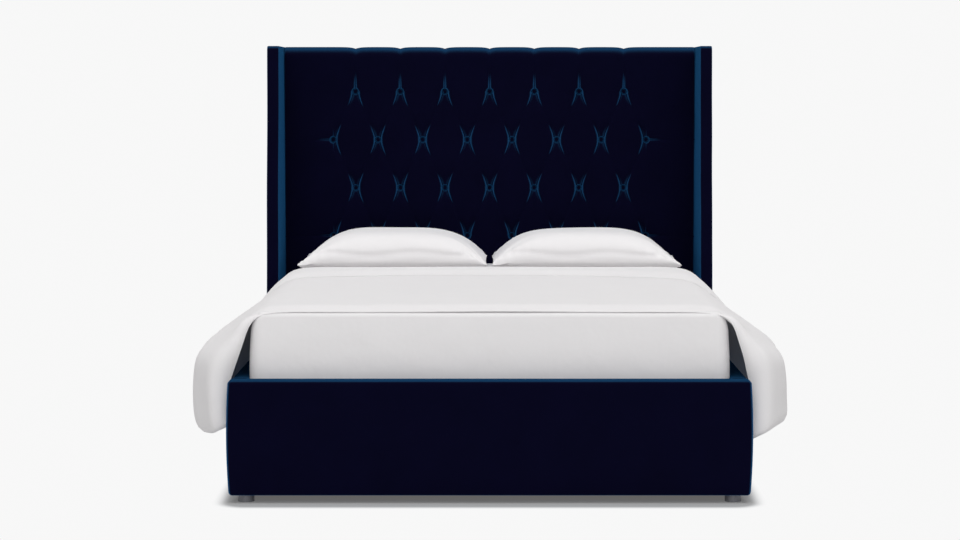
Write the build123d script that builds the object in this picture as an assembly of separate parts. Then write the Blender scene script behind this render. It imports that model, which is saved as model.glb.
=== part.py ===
from build123d import *
import os
from math import cos, hypot, pi, sin, sqrt

# Wingback bed: a tufted headboard between two raked wings, padded rails, a slatted base and made-up bedding.
# Millimetres, +Z up, +Y towards the headboard, +X to the right of someone standing at the foot.
# The origin is on the floor, under the middle of the bed.

os.makedirs("parts", exist_ok=True)

# mattress
mattress_width = 1523.0
mattress_length = 2032.0
mattress_thick = 305.0
mattress_corner_radius = 60.0
mattress_edge_radius = 32.0
mattress_foot_bevel = 10.0
sheet_thick = 1.5
sheet_tuck = 12.0
end_play = 4.0
side_play = 3.5

# upholstered base
foot_height = 27.0
base_height = 363.0
rail_thick = 55.0
rail_crown = 6.5
rail_core_thick = 25.0
footboard_thick = 70.0
footboard_core_thick = 38.0
base_edge_radius = 9.0
skin = 4.0
cover_return = 90.0
core_top_padding = 12.0
core_end_padding = 16.0

# headboard
headboard_height = 1473.0
headboard_thick = 110.0
lining_thick = 1.5
lining_drop = 12.0
headboard_frame_depth = 45.0
frame_board_width = 70.0
cross_board_count = 4
panel_thick = 12.0
headboard_foam_thick = 20.0
pad_top_skin = 14.0
pad_edge_radius = 24.0
pad_gap = 6.0

# deep diamond tufting
tuft_rows = 4
tuft_columns = 7
tuft_pitch = 180.5
tuft_row_pitch = 194.3
tuft_top_margin = 179.0
well_radius = 38.0
well_depth = 24.0
tuft_sides = 8
button_radius = 12.0
button_height = 7.0
button_crown_share = 0.62
button_seat_gap = 1.0
pleat_half_width = 21.0
pleat_depth = 9.0
roll_width_share = 0.42
roll_depth_share = 0.3
scallop_depth = 7.0
end_pleat_length = 64.0
tie_width = 4.0
tie_thick = 2.0

# wings
wing_gap = 1.4
wing_thick = 46.0
wing_core_thick = 25.0
wing_top_reach = 219.0
wing_bottom_reach = 358.0
wing_corner_radius = 20.0
wing_edge_radius = 7.0

# slats and their supports
mattress_recess = 97.0
slat_thick = 18.0
slat_width = 70.0
slat_count = 13
slat_end_gap = 3.0
slat_end_margin = 40.0
strap_width = 25.0
strap_thick = 1.2
strap_place_share = 0.5
cleat_height = 45.0
cleat_thick = 28.0
centre_rail_height = 95.0
centre_rail_thick = 32.0
hanger_wall = 3.0
hanger_depth = 40.0
hanger_flange = 24.0

# centre legs with levelling glides
leg_side = 50.0
leg_place_shares = (0.14, 0.5, 0.86)
leg_names = ("foot", "middle", "head")
leg_plate_length = 110.0
leg_plate_thick = 3.0
leg_stud_radius = 4.0
leg_stud_length = 35.0
glide_radius = 20.0
glide_height = 8.0
glide_stud_radius = 4.0
glide_travel = 12.0
glide_grip = 30.0
glide_clearance = 0.08
nut_side = 20.0
nut_thick = 9.0
bore_relief = 1.0

# corner feet
corner_foot_radius = 26.0
corner_foot_inset = 46.0
rear_foot_inset = 30.0
foot_stud_radius = 4.0
foot_stud_length = 32.0

# hook plates that join the rails to the head and the foot
hook_plate_thick = 3.0
hook_plate_height = 130.0
hook_plate_length = 60.0
hook_plate_rise = 58.0
hook_count = 2
hook_drop = 12.0
hook_neck_height = 18.0
hook_reach = 9.0
hook_margin = 20.0
hook_clearance = 0.5
slot_plate_thick = 3.0
slot_plate_width = 40.0
pocket_depth = 14.0
pocket_width = 16.0

# bolts that hold the wings to the posts
wing_bolt_radius = 4.0
wing_bolt_head_radius = 8.0
wing_bolt_head_height = 5.0
wing_bolt_bite = 18.0
wing_bolt_margin = 260.0
slit_margin = 1.0

# bedding
soft_gap = 0.4
duvet_thick = 22.0
duvet_foot_setback = 3.0
duvet_pillow_gap = 37.0
duvet_side_gap = 1.5
duvet_left_hem = 176.0
duvet_right_hem = 152.0
duvet_hem_lift = 24.0
duvet_sections = 11
duvet_fold_count = 3
duvet_fold_share = 0.06
duvet_foot_lean = 0.7
duvet_blunt = 0.4
duvet_crowding = 1.6
bend_share = 0.8
turndown_length = 330.0
turndown_slope = 26.0
turndown_sections = 3
pillow_length = 722.0
pillow_depth = 505.0
pillow_height = 172.0
pillow_seam_height = 62.0
pillow_gap = 10.0
pillow_head_gap = 66.0
pillow_draw = 16.0
pillow_sections = 7
pillow_sides = 10
pillow_end_share = 0.1
pillow_blunt = 4

# how far out from the mattress and how far down from its top the duvet's bends lie: at its foot, then in full
duvet_knee = ((30.0, 62.0), (168.0, 141.0))
duvet_flank = ((82.0, 190.0), (226.0, 250.0))
duvet_hem_reach = (116.0, 214.0)

# one overrun for every cut, and the sides of a hidden stud
overrun = 5.0
stud_sides = 8

# heights worked out from the sizes above
base_bottom = foot_height
base_top = base_bottom + base_height
mattress_bottom = base_top - mattress_recess
mattress_top = mattress_bottom + mattress_thick
slat_top = mattress_bottom
slat_bottom = slat_top - slat_thick
centre_rail_bottom = slat_bottom - centre_rail_height
glide_stud_length = glide_travel + glide_grip

# widths
rail_inner = mattress_width / 2 + side_play
rail_outer = rail_inner + rail_thick
rail_core_inner = rail_inner + skin
rail_core_outer = rail_core_inner + rail_core_thick
wing_inner = rail_outer + rail_crown + wing_gap
wing_core_start = wing_inner + (wing_thick - wing_core_thick) / 2

# lengths along the bed
bed_length = footboard_thick + end_play + mattress_length + end_play + headboard_thick
front_y = -bed_length / 2
back_y = bed_length / 2
footboard_back = front_y + footboard_thick
footboard_core_back = footboard_back - skin
mattress_foot = footboard_back + end_play
mattress_head = mattress_foot + mattress_length
pad_face = back_y - headboard_thick
frame_back = back_y - lining_thick
panel_back = frame_back - headboard_frame_depth
panel_face = panel_back - panel_thick
foam_face = panel_face - headboard_foam_thick
pad_bottom = base_top + pad_gap
frame_top = headboard_height - pad_top_skin


def block(x_span, y_span, z_span):
    """A squared block between two places on each axis."""
    spans = (x_span, y_span, z_span)
    sizes = [high - low for low, high in spans]
    middle = [(low + high) / 2 for low, high in spans]
    return Pos(*middle) * Box(*sizes)


def rod(start, direction, radius, length):
    """A round bar from a point, along a direction."""
    plane = Plane(origin=start, z_dir=direction)
    return extrude(plane * Circle(radius), amount=length)


def stud_bar(start, direction, radius, length):
    """A hidden bolt shank or stud, or the hole for one, with few sides because it repeats."""
    plane = Plane(origin=start, z_dir=direction)
    return extrude(plane * RegularPolygon(radius, stud_sides), amount=length)


def hexagon_head(start, direction, radius, height):
    """A six-sided bolt head that grows from a point, along a direction."""
    plane = Plane(origin=start, z_dir=direction)
    return extrude(plane * RegularPolygon(radius, side_count=6), amount=height)


def mirrored(shape):
    """The same piece on the other side of the bed."""
    return mirror(shape, about=Plane.YZ)


def group(pieces):
    """Separate solids that share one node."""
    return Compound(children=list(pieces))


def save(name, shape):
    """Write one node and report its volume."""
    export_step(shape, f"parts/{name}.step")
    print(f"{name}: {shape.volume / CM ** 3:.1f} cm3")


# Side rails and footboard

def crowned_outline(inner):
    """A panel's section from an inner upright to the softly crowned outer side, seen along the bed."""
    middle = (base_bottom + base_top) / 2
    top_corner, bottom_corner = (rail_outer, base_top), (rail_outer, base_bottom)
    top = Line((inner, base_top), top_corner)
    crown = ThreePointArc(top_corner, (rail_outer + rail_crown, middle), bottom_corner)
    bottom = Line(bottom_corner, (inner, base_bottom))
    return top + crown + bottom


def side_rail():
    """Core board, foam and velvet cover of the right-hand rail."""
    upright = Line((rail_inner, base_bottom), (rail_inner, base_top))
    outline = make_face(Plane.XZ * (crowned_outline(rail_inner) + upright))
    outline = fillet(outline.vertices(), base_edge_radius)
    solid = Pos(0, footboard_back, 0) * extrude(outline, amount=panel_face - footboard_back, dir=(0, 1, 0))
    length = (footboard_back, panel_face)
    core_length = (footboard_back, panel_face - slot_plate_thick)
    core_top = base_top - core_top_padding
    filling = block((rail_core_inner, rail_outer - skin), length, (base_bottom, base_top - skin))
    bottom_edges = filling.edges().filter_by(Axis.Y).group_by(Axis.Z)[0]
    filling = fillet(bottom_edges.sort_by(Axis.X)[-1], base_edge_radius - skin)
    core_space = block((rail_core_inner, rail_core_outer), length, (base_bottom, core_top))
    core = block((rail_core_inner, rail_core_outer), core_length, (base_bottom, core_top))
    bare_side = block(
        (rail_inner - overrun, rail_core_inner),
        length,
        (base_bottom - overrun, base_top - cover_return),
    )
    return core, filling - core_space, solid - filling - bare_side


def footboard():
    """Core board, foam and velvet cover of the footboard, its ends crowned like the rails."""
    right = crowned_outline(0)
    outline = make_face(Plane.XZ * (right + mirror(right, about=Plane.YZ)))
    corners = [corner for corner in outline.vertices() if abs(corner.X) > rail_inner]
    outline = fillet(corners, base_edge_radius)
    solid = Pos(0, footboard_back, 0) * extrude(outline, amount=footboard_thick, dir=(0, -1, 0))
    solid = fillet(solid.faces().sort_by(Axis.Y)[0].edges(), base_edge_radius)
    filling_half = rail_outer - skin
    core_half = rail_outer - core_end_padding
    core_depth = (footboard_core_back - footboard_core_thick, footboard_core_back)
    filling = block(
        (-filling_half, filling_half),
        (front_y + skin, footboard_core_back),
        (base_bottom, base_top - skin),
    )
    bottom_edges = filling.faces().sort_by(Axis.Z)[0].edges().sort_by(Axis.Y)
    filling = fillet(bottom_edges[:-1], base_edge_radius - skin)
    bare_side = block(
        (-filling_half, filling_half),
        (footboard_core_back, footboard_back + overrun),
        (base_bottom - overrun, base_top - cover_return),
    )
    core = block((-core_half, core_half), core_depth, (base_bottom, base_top - core_top_padding))
    return core, filling - core, solid - filling - bare_side


# Headboard

def button_places():
    """Every button as its row, its half-pitch column, and its x and z on the pad."""
    places = []
    for row in range(tuft_rows):
        reach = tuft_columns - 1 + row % 2
        for column in range(-reach, reach + 1, 2):
            x = column * tuft_pitch / 2
            z = headboard_height - tuft_top_margin - row * tuft_row_pitch
            places.append((row, column, x, z))
    return places


def rolled_section(half_width, depth):
    """A pleat's section: two soft rolls of padding that meet in a crease, x across and y into the pad."""
    roll_x = half_width * roll_width_share
    roll_y = depth * roll_depth_share
    points = [(-half_width, 0), (-roll_x, roll_y), (0, depth), (roll_x, roll_y), (half_width, 0)]
    rim = [(half_width, -overrun), (-half_width, -overrun)]
    return make_face(Polyline(*points, *rim, close=True))


def pleat(start, end):
    """The cutter for one straight crease between two places on the pad's face."""
    run_x, run_z = end[0] - start[0], end[1] - start[1]
    length = hypot(run_x, run_z)
    plane = Plane(
        origin=(start[0], pad_face, start[1]),
        x_dir=(run_z, 0, -run_x),
        z_dir=(run_x, 0, run_z),
    )
    return extrude(plane * rolled_section(pleat_half_width, pleat_depth), amount=length)


def fading_pleat(x, z, outward):
    """The cutter for a short level crease that fades out from an end button towards the wing."""
    deep, shallow = pad_face + pleat_depth, pad_face - overrun
    side = Plane.XY.offset(z) * Polyline(
        (x, shallow), (x, deep), (x + outward * end_pleat_length, pad_face),
        (x + outward * end_pleat_length, shallow), close=True,
    )
    return extrude(make_face(side), amount=pleat_half_width * roll_width_share, both=True)


def pleat_cutters():
    """All creases: diagonals between buttons, ones to the top and bottom edges, and short end ones."""
    places = {(row, column): (x, z) for row, column, x, z in button_places()}
    cutters = []
    for side in (-1, 1):
        for (row, column), start in places.items():
            if (row - 1, column - side) in places:
                continue
            step = 0
            while (row + step + 1, column + (step + 1) * side) in places:
                step += 1
            if step:
                cutters.append(pleat(start, places[(row + step, column + step * side)]))
    for (row, column), (x, z) in places.items():
        if row == 0:
            cutters.append(pleat((x, z), (x, headboard_height + overrun)))
            top_place = (x, pad_face - overrun, headboard_height)
            top_plane = Plane(origin=top_place, x_dir=(-1, 0, 0), z_dir=(0, 1, 0))
            section = rolled_section(pleat_half_width, scallop_depth)
            cutters.append(extrude(top_plane * section, amount=headboard_thick + 2 * overrun))
        if row == tuft_rows - 1:
            cutters.append(pleat((x, pad_bottom - overrun), (x, z)))
        if abs(column) == tuft_columns:
            cutters.append(fading_pleat(x, z, column / abs(column)))
    return cutters


def plug(x, z, y_span, radii):
    """An eight-sided plug between two places into the pad, its radii measured to the flats."""
    rings = []
    for y, radius in zip(y_span, radii):
        corner = radius / cos(pi / tuft_sides)
        turns = [pi * (2 * side + 1) / tuft_sides for side in range(tuft_sides)]
        rings.append([(x + corner * cos(turn), y, z + corner * sin(turn)) for turn in turns])
    near, far = rings
    quads = [(near[side - 1], near[side], far[side], far[side - 1]) for side in range(tuft_sides)]
    return Solid(Shell([make_face(Polyline(*points, close=True)) for points in quads + rings]))


def well(x, z):
    """The cutter for one button's well, which narrows to a flat seat as its folds gather."""
    slope = (well_radius - button_radius - button_seat_gap) / well_depth
    depths = (pad_face - overrun, pad_face + well_depth)
    return plug(x, z, depths, (well_radius + slope * overrun, button_radius + button_seat_gap))


def button(x, z):
    """One covered button on the seat of its well, its side leaning in to the crown."""
    seat = pad_face + well_depth
    return plug(x, z, (seat - button_height, seat), (button_radius * button_crown_share, button_radius))


def tie_slot(x, z, y_span):
    """The place of one flat tie, as a slot through part of the headboard."""
    return block((x - tie_width / 2, x + tie_width / 2), y_span, (z - tie_thick / 2, z + tie_thick / 2))


def headboard_pad():
    """The tufted velvet cover with its wadding, its foam and the drilled plywood panel behind it."""
    cover = block((-wing_inner, wing_inner), (pad_face, frame_back), (pad_bottom, headboard_height))
    top_edges = cover.edges().filter_by(Axis.X).group_by(Axis.Z)[-1]
    cover = fillet(top_edges.sort_by(Axis.Y)[0], pad_edge_radius)
    cavity_half = wing_inner - skin
    cavity_depth = (foam_face, frame_back + overrun)
    cavity = block((-cavity_half, cavity_half), cavity_depth, (pad_bottom - overrun, frame_top))
    foam = block((-cavity_half, cavity_half), (foam_face, panel_face), (pad_bottom, frame_top))
    panel = block((-cavity_half, cavity_half), (panel_face, panel_back), (base_bottom, frame_top))
    wells, ties, buttons = [], [], []
    for _, _, x, z in button_places():
        wells.append(well(x, z))
        buttons.append(button(x, z))
        ties.append(tie_slot(x, z, (pad_face + well_depth, panel_back)))
    cover = cover.cut(cavity, *pleat_cutters(), *wells)
    return cover.cut(*ties), foam.cut(*ties), panel.cut(*ties), group(buttons), group(ties)


def headboard_frame():
    """Posts and cross boards of the pine frame behind the panel."""
    outer = wing_inner - skin
    inner = outer - frame_board_width
    depth = (panel_back, frame_back)
    post = block((inner, outer), depth, (base_bottom, frame_top))
    pitch = (frame_top - base_bottom - frame_board_width) / (cross_board_count - 1)
    levels = [base_bottom + pitch * board for board in range(cross_board_count)]
    rails = [block((-inner, inner), depth, (level, level + frame_board_width)) for level in levels]
    return group([post, mirrored(post)]), group(rails)


def back_lining():
    """The cloth that closes the back, up to just under the top edge."""
    half = wing_inner - skin
    return block((-half, half), (frame_back, back_y), (base_bottom, headboard_height - lining_drop))


# Wings

def wing_outline(inset):
    """A wing from the side: upright at the back, its front edge raked out towards the floor."""
    top = headboard_height - inset
    top_front = pad_face - wing_top_reach + inset
    bottom_front = pad_face - wing_bottom_reach + inset
    rear = back_y - inset
    corners = [(rear, base_bottom), (rear, top), (top_front, top), (bottom_front, base_bottom)]
    return make_face(Plane.YZ * Polyline(*corners, close=True))


def wing():
    """Core board, foam and velvet cover of the right-hand wing."""
    outline = wing_outline(0)
    top_corners = outline.vertices().group_by(Axis.Z)[-1]
    outline = fillet(top_corners.sort_by(Axis.Y)[0], wing_corner_radius)
    solid = Pos(wing_inner, 0, 0) * extrude(outline, amount=wing_thick)
    rims = solid.faces().filter_by(Axis.X).edges()
    plain = solid.faces().sort_by(Axis.Z)[0].edges() + solid.faces().sort_by(Axis.Y)[-1].edges()
    solid = fillet([edge for edge in rims if edge not in plain], wing_edge_radius)
    lining = wing_outline(skin)
    top_corners = lining.vertices().group_by(Axis.Z)[-1]
    lining = fillet(top_corners.sort_by(Axis.Y)[0], wing_corner_radius - skin)
    filling = Pos(wing_inner + skin, 0, 0) * extrude(lining, amount=wing_thick - 2 * skin)
    core_inset = skin + core_top_padding
    core = Pos(wing_core_start, 0, 0) * extrude(wing_outline(core_inset), amount=wing_core_thick)
    return core, filling - core, solid - filling


def wing_bolt_places():
    """Where the wing bolts run outwards through the posts: y and z of each."""
    y = (panel_back + frame_back) / 2
    low = base_bottom + wing_bolt_margin
    high = headboard_height - wing_bolt_margin
    return [(y, low), (y, high)]


def wing_bolt(y, z):
    """One bolt from the inside of a post into the wing's core."""
    start = wing_inner - skin - frame_board_width
    end = wing_core_start + wing_bolt_bite
    shank = stud_bar((start, y, z), (1, 0, 0), wing_bolt_radius, end - start)
    head = hexagon_head((start, y, z), (-1, 0, 0), wing_bolt_head_radius, wing_bolt_head_height)
    return shank + head


def wing_bolt_slit(y, z):
    """The slit in cloth and foam that lets a wing bolt reach the core."""
    half = wing_bolt_radius + slit_margin
    x_span = (wing_inner - skin - overrun, wing_core_start)
    return block(x_span, (y - half, y + half), (z - half, z + half))


# Slats, centre rail and legs

def slats():
    """The cross slats and the two webbing straps that keep them apart."""
    half = rail_core_inner - slat_end_gap
    first = footboard_back + slat_end_margin
    last = pad_face - slat_end_margin - slat_width
    pitch = (last - first) / (slat_count - 1)
    rows = []
    for index in range(slat_count):
        y = first + index * pitch
        rows.append(block((-half, half), (y, y + slat_width), (slat_bottom, slat_top)))
    strap_x = half * strap_place_share
    strap_height = (slat_bottom - strap_thick, slat_bottom)
    strap = block((strap_x, strap_x + strap_width), (first, last + slat_width), strap_height)
    return group(rows), group([strap, mirrored(strap)])


def cleat():
    """The ledger strip on the right-hand rail that carries the slat ends."""
    x_span = (rail_core_inner - cleat_thick, rail_core_inner)
    return block(x_span, (footboard_back, panel_face), (slat_bottom - cleat_height, slat_bottom))


def centre_rail():
    """The beam under the middle of the slats."""
    half = centre_rail_thick / 2
    length = (footboard_core_back + hanger_wall, panel_face - hanger_wall)
    return block((-half, half), length, (centre_rail_bottom, slat_bottom))


def rail_hanger(wall_y, inward):
    """A bent steel stirrup that hangs one end of the centre rail from a board."""
    half = centre_rail_thick / 2
    outer = half + hanger_wall
    flange = outer + hanger_flange
    z_span = (centre_rail_bottom - hanger_wall, slat_bottom)
    plate_span = sorted((wall_y, wall_y + inward * hanger_wall))
    stirrup_span = sorted((wall_y, wall_y + inward * hanger_depth))
    pocket_span = sorted((wall_y + inward * hanger_wall, wall_y + inward * (hanger_depth + overrun)))
    plate = block((-flange, flange), plate_span, z_span)
    stirrup = block((-outer, outer), stirrup_span, z_span)
    pocket = block((-half, half), pocket_span, (centre_rail_bottom, slat_bottom + overrun))
    return plate + stirrup - pocket


def leg_places():
    """The y of each centre leg, from foot to head."""
    run = pad_face - footboard_back
    return [footboard_back + share * run for share in leg_place_shares]


def centre_leg(y):
    """A square leg with its plate, the nut let into its end and its levelling glide."""
    half = leg_side / 2
    top = centre_rail_bottom - leg_plate_thick
    leg = block((-half, half), (y - half, y + half), (glide_height, top))
    plate_half = leg_plate_length / 2
    plate = block((-half, half), (y - plate_half, y + plate_half), (top, centre_rail_bottom))
    hanger_stud = stud_bar((0, y, top), (0, 0, -1), leg_stud_radius, leg_stud_length)
    nut_half = nut_side / 2
    nut = block((-nut_half, nut_half), (y - nut_half, y + nut_half), (glide_height, glide_height + nut_thick))
    nut_bore = rod((0, y, glide_height), (0, 0, 1), glide_stud_radius + glide_clearance, nut_thick)
    bore_depth = glide_stud_length + overrun
    stud_bore = rod((0, y, glide_height), (0, 0, 1), glide_stud_radius + bore_relief, bore_depth)
    disc = rod((0, y, 0), (0, 0, 1), glide_radius, glide_height)
    glide = disc + rod((0, y, glide_height), (0, 0, 1), glide_stud_radius, glide_stud_length)
    return leg.cut(nut, stud_bore, hanger_stud), plate + hanger_stud, nut - nut_bore, glide


# Hook plates and feet

def hook_levels():
    """The height of each hook's neck, from the lowest up."""
    bottom = base_bottom + hook_plate_rise
    lowest = bottom + hook_margin + hook_drop
    highest = bottom + hook_plate_height - hook_margin - hook_neck_height
    return [lowest + index * (highest - lowest) / (hook_count - 1) for index in range(hook_count)]


def hook_plate(wall_y, inward):
    """The steel plate on the end of the right-hand rail, with its hooks dropped behind the slot plate."""
    x_span = (rail_core_inner - hook_plate_thick, rail_core_inner)
    bottom = base_bottom + hook_plate_rise
    seat = wall_y + inward * slot_plate_thick
    plate_length = sorted((seat, wall_y + inward * hook_plate_length))
    plate = block(x_span, plate_length, (bottom, bottom + hook_plate_height))
    nose_y = sorted((wall_y, wall_y - inward * hook_reach))
    for level in hook_levels():
        neck_top = level + hook_neck_height
        plate += block(x_span, sorted((seat, wall_y - inward * hook_reach)), (level, neck_top))
        plate += block(x_span, nose_y, (level - hook_drop, neck_top))
    return plate


def slot_plate(wall_y, inward):
    """The slotted plate on the head or foot board that the rail's hooks drop into."""
    centre = rail_core_inner - hook_plate_thick / 2
    half = slot_plate_width / 2
    slot_half = hook_plate_thick / 2 + hook_clearance
    bottom = base_bottom + hook_plate_rise
    depth = sorted((wall_y, wall_y + inward * slot_plate_thick))
    plate = block((centre - half, centre + half), depth, (bottom, bottom + hook_plate_height))
    cut_depth = (depth[0] - overrun, depth[1] + overrun)
    slots = []
    for level in hook_levels():
        z_span = (level, level + hook_neck_height + hook_drop + hook_clearance)
        slots.append(block((centre - slot_half, centre + slot_half), cut_depth, z_span))
    return plate.cut(*slots)


def hook_pockets(wall_y, inward):
    """The routed pockets behind a slot plate that leave the hooks room to drop."""
    centre = rail_core_inner - hook_plate_thick / 2
    half = pocket_width / 2
    depth = sorted((wall_y, wall_y - inward * pocket_depth))
    pockets = []
    for level in hook_levels():
        z_span = (level - hook_drop - overrun, level + hook_neck_height + hook_drop + overrun)
        pockets.append(block((centre - half, centre + half), depth, z_span))
    return pockets


def corner_foot(y):
    """A round glide foot with its stud, under one corner."""
    x = rail_outer - corner_foot_inset
    body = rod((x, y, 0), (0, 0, 1), corner_foot_radius, foot_height)
    stud = stud_bar((x, y, foot_height), (0, 0, 1), foot_stud_radius, foot_stud_length)
    return body + stud, stud


# Bedding

def mattress_block(grow):
    """The mattress, or the same form a sheet's thickness larger, its corners and edges rounded."""
    half = mattress_width / 2 + grow
    length = (mattress_foot - grow, mattress_head + grow)
    solid = block((-half, half), length, (mattress_bottom - grow, mattress_top + grow))
    solid = fillet(solid.edges().filter_by(Axis.Z), mattress_corner_radius + grow)
    solid = chamfer(solid.faces().sort_by(Axis.Z)[0].edges(), mattress_foot_bevel)
    return fillet(solid.faces().sort_by(Axis.Z)[-1].edges(), mattress_edge_radius + grow)


def fitted_sheet():
    """The sheet's skin over the mattress, open underneath."""
    half = mattress_width / 2 + sheet_thick + overrun
    length = (mattress_foot - sheet_thick - overrun, mattress_head + sheet_thick + overrun)
    height = (mattress_bottom - sheet_thick - overrun, mattress_bottom + sheet_tuck)
    under = block((-half, half), length, height)
    return mattress_block(sheet_thick) - mattress_block(0) - under


def between(pair, share):
    """A value part of the way from the first of a pair to the second."""
    return pair[0] + share * (pair[1] - pair[0])


def duvet_fullness(place):
    """How far the sides stand out along the bed: drawn in at both ends, with broad folds between."""
    spread = abs(sin(pi * place ** duvet_foot_lean)) ** duvet_blunt
    return spread * (1 - duvet_fold_share * (1 - cos(2 * pi * duvet_fold_count * place)))


def duvet_section(y, fullness, layers):
    """The duvet cut across at one place: flat on the mattress, sloping out, then hanging to its hems."""
    side_x = mattress_width / 2 + sheet_thick
    inner_top = mattress_top + sheet_thick + soft_gap
    added = duvet_thick * (layers - 1)
    knee_out, flank_out = (
        [between(pair, fullness) for pair in zip(*bend)] for bend in (duvet_knee, duvet_flank)
    )
    knee = (side_x + knee_out[0], inner_top - knee_out[1])
    flank = (side_x + flank_out[0], inner_top - flank_out[1])
    hem_x = side_x + between(duvet_hem_reach, fullness)

    def side(sign, hem):
        """One side of the section from its inner shoulder out and back to its outer shoulder."""
        hem_z = hem + (1 - fullness) * duvet_hem_lift
        outline = [
            (side_x + duvet_side_gap, inner_top),
            (knee[0] - duvet_thick * bend_share, knee[1] - duvet_thick * bend_share),
            (flank[0] - duvet_thick, flank[1]),
            (hem_x - duvet_thick, hem_z),
            (hem_x + added, hem_z),
            (flank[0] + added, flank[1]),
            (knee[0] + added * bend_share, knee[1] + added * bend_share),
            (side_x + added, inner_top + duvet_thick * layers),
        ]
        return [(sign * x, z) for x, z in outline]

    path = Polyline(*side(1, duvet_right_hem), *side(-1, duvet_left_hem)[::-1], close=True)
    return make_face(Plane(origin=(0, y, 0), x_dir=(1, 0, 0), z_dir=(0, -1, 0)) * path)


def duvet():
    """The duvet in its drape: drawn in at the foot, in broad folds, doubled at its turned-down head."""
    foot = mattress_foot + duvet_foot_setback
    head = pad_face - pillow_head_gap - pillow_depth - duvet_pillow_gap
    fold, turned = head - turndown_length, head - turndown_length + turndown_slope
    last = duvet_sections - 1
    places = [(foot + (fold - foot) * (index / last) ** duvet_crowding, 1) for index in range(duvet_sections)]
    last = turndown_sections - 1
    places += [(turned + (head - turned) * index / last, 2) for index in range(turndown_sections)]
    sections = [duvet_section(y, duvet_fullness((y - foot) / (head - foot)), layers) for y, layers in places]
    return loft(sections, ruled=True)


def pillow_section(x, depth, height, centre_y):
    """A pillow cut across at one place: a plump lens with its seam low at the front and back."""
    bottom = mattress_top + sheet_thick + soft_gap
    seam = bottom + pillow_seam_height * height / pillow_height
    points = []
    for side in range(pillow_sides):
        turn = 2 * pi * side / pillow_sides
        rise = bottom + height - seam if turn < pi else seam - bottom
        points.append((centre_y + depth / 2 * cos(turn), seam + rise * sin(turn)))
    plane = Plane(origin=(x, 0, 0), x_dir=(0, 1, 0), z_dir=(1, 0, 0))
    return make_face(plane * Polyline(*points, close=True))


def pillow():
    """The right-hand pillow: full in the middle, thin and drawn in between its corners."""
    centre_y = pad_face - pillow_head_gap - pillow_depth / 2
    sections = []
    for index in range(pillow_sections):
        place = -cos(pi * index / (pillow_sections - 1))
        plump = sqrt(1 - place ** pillow_blunt)
        height = pillow_height * (pillow_end_share + (1 - pillow_end_share) * plump)
        depth = pillow_depth - 2 * pillow_draw * plump
        x = pillow_gap + (1 + place) / 2 * pillow_length
        sections.append(pillow_section(x, depth, height, centre_y))
    return loft(sections, ruled=True)


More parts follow.
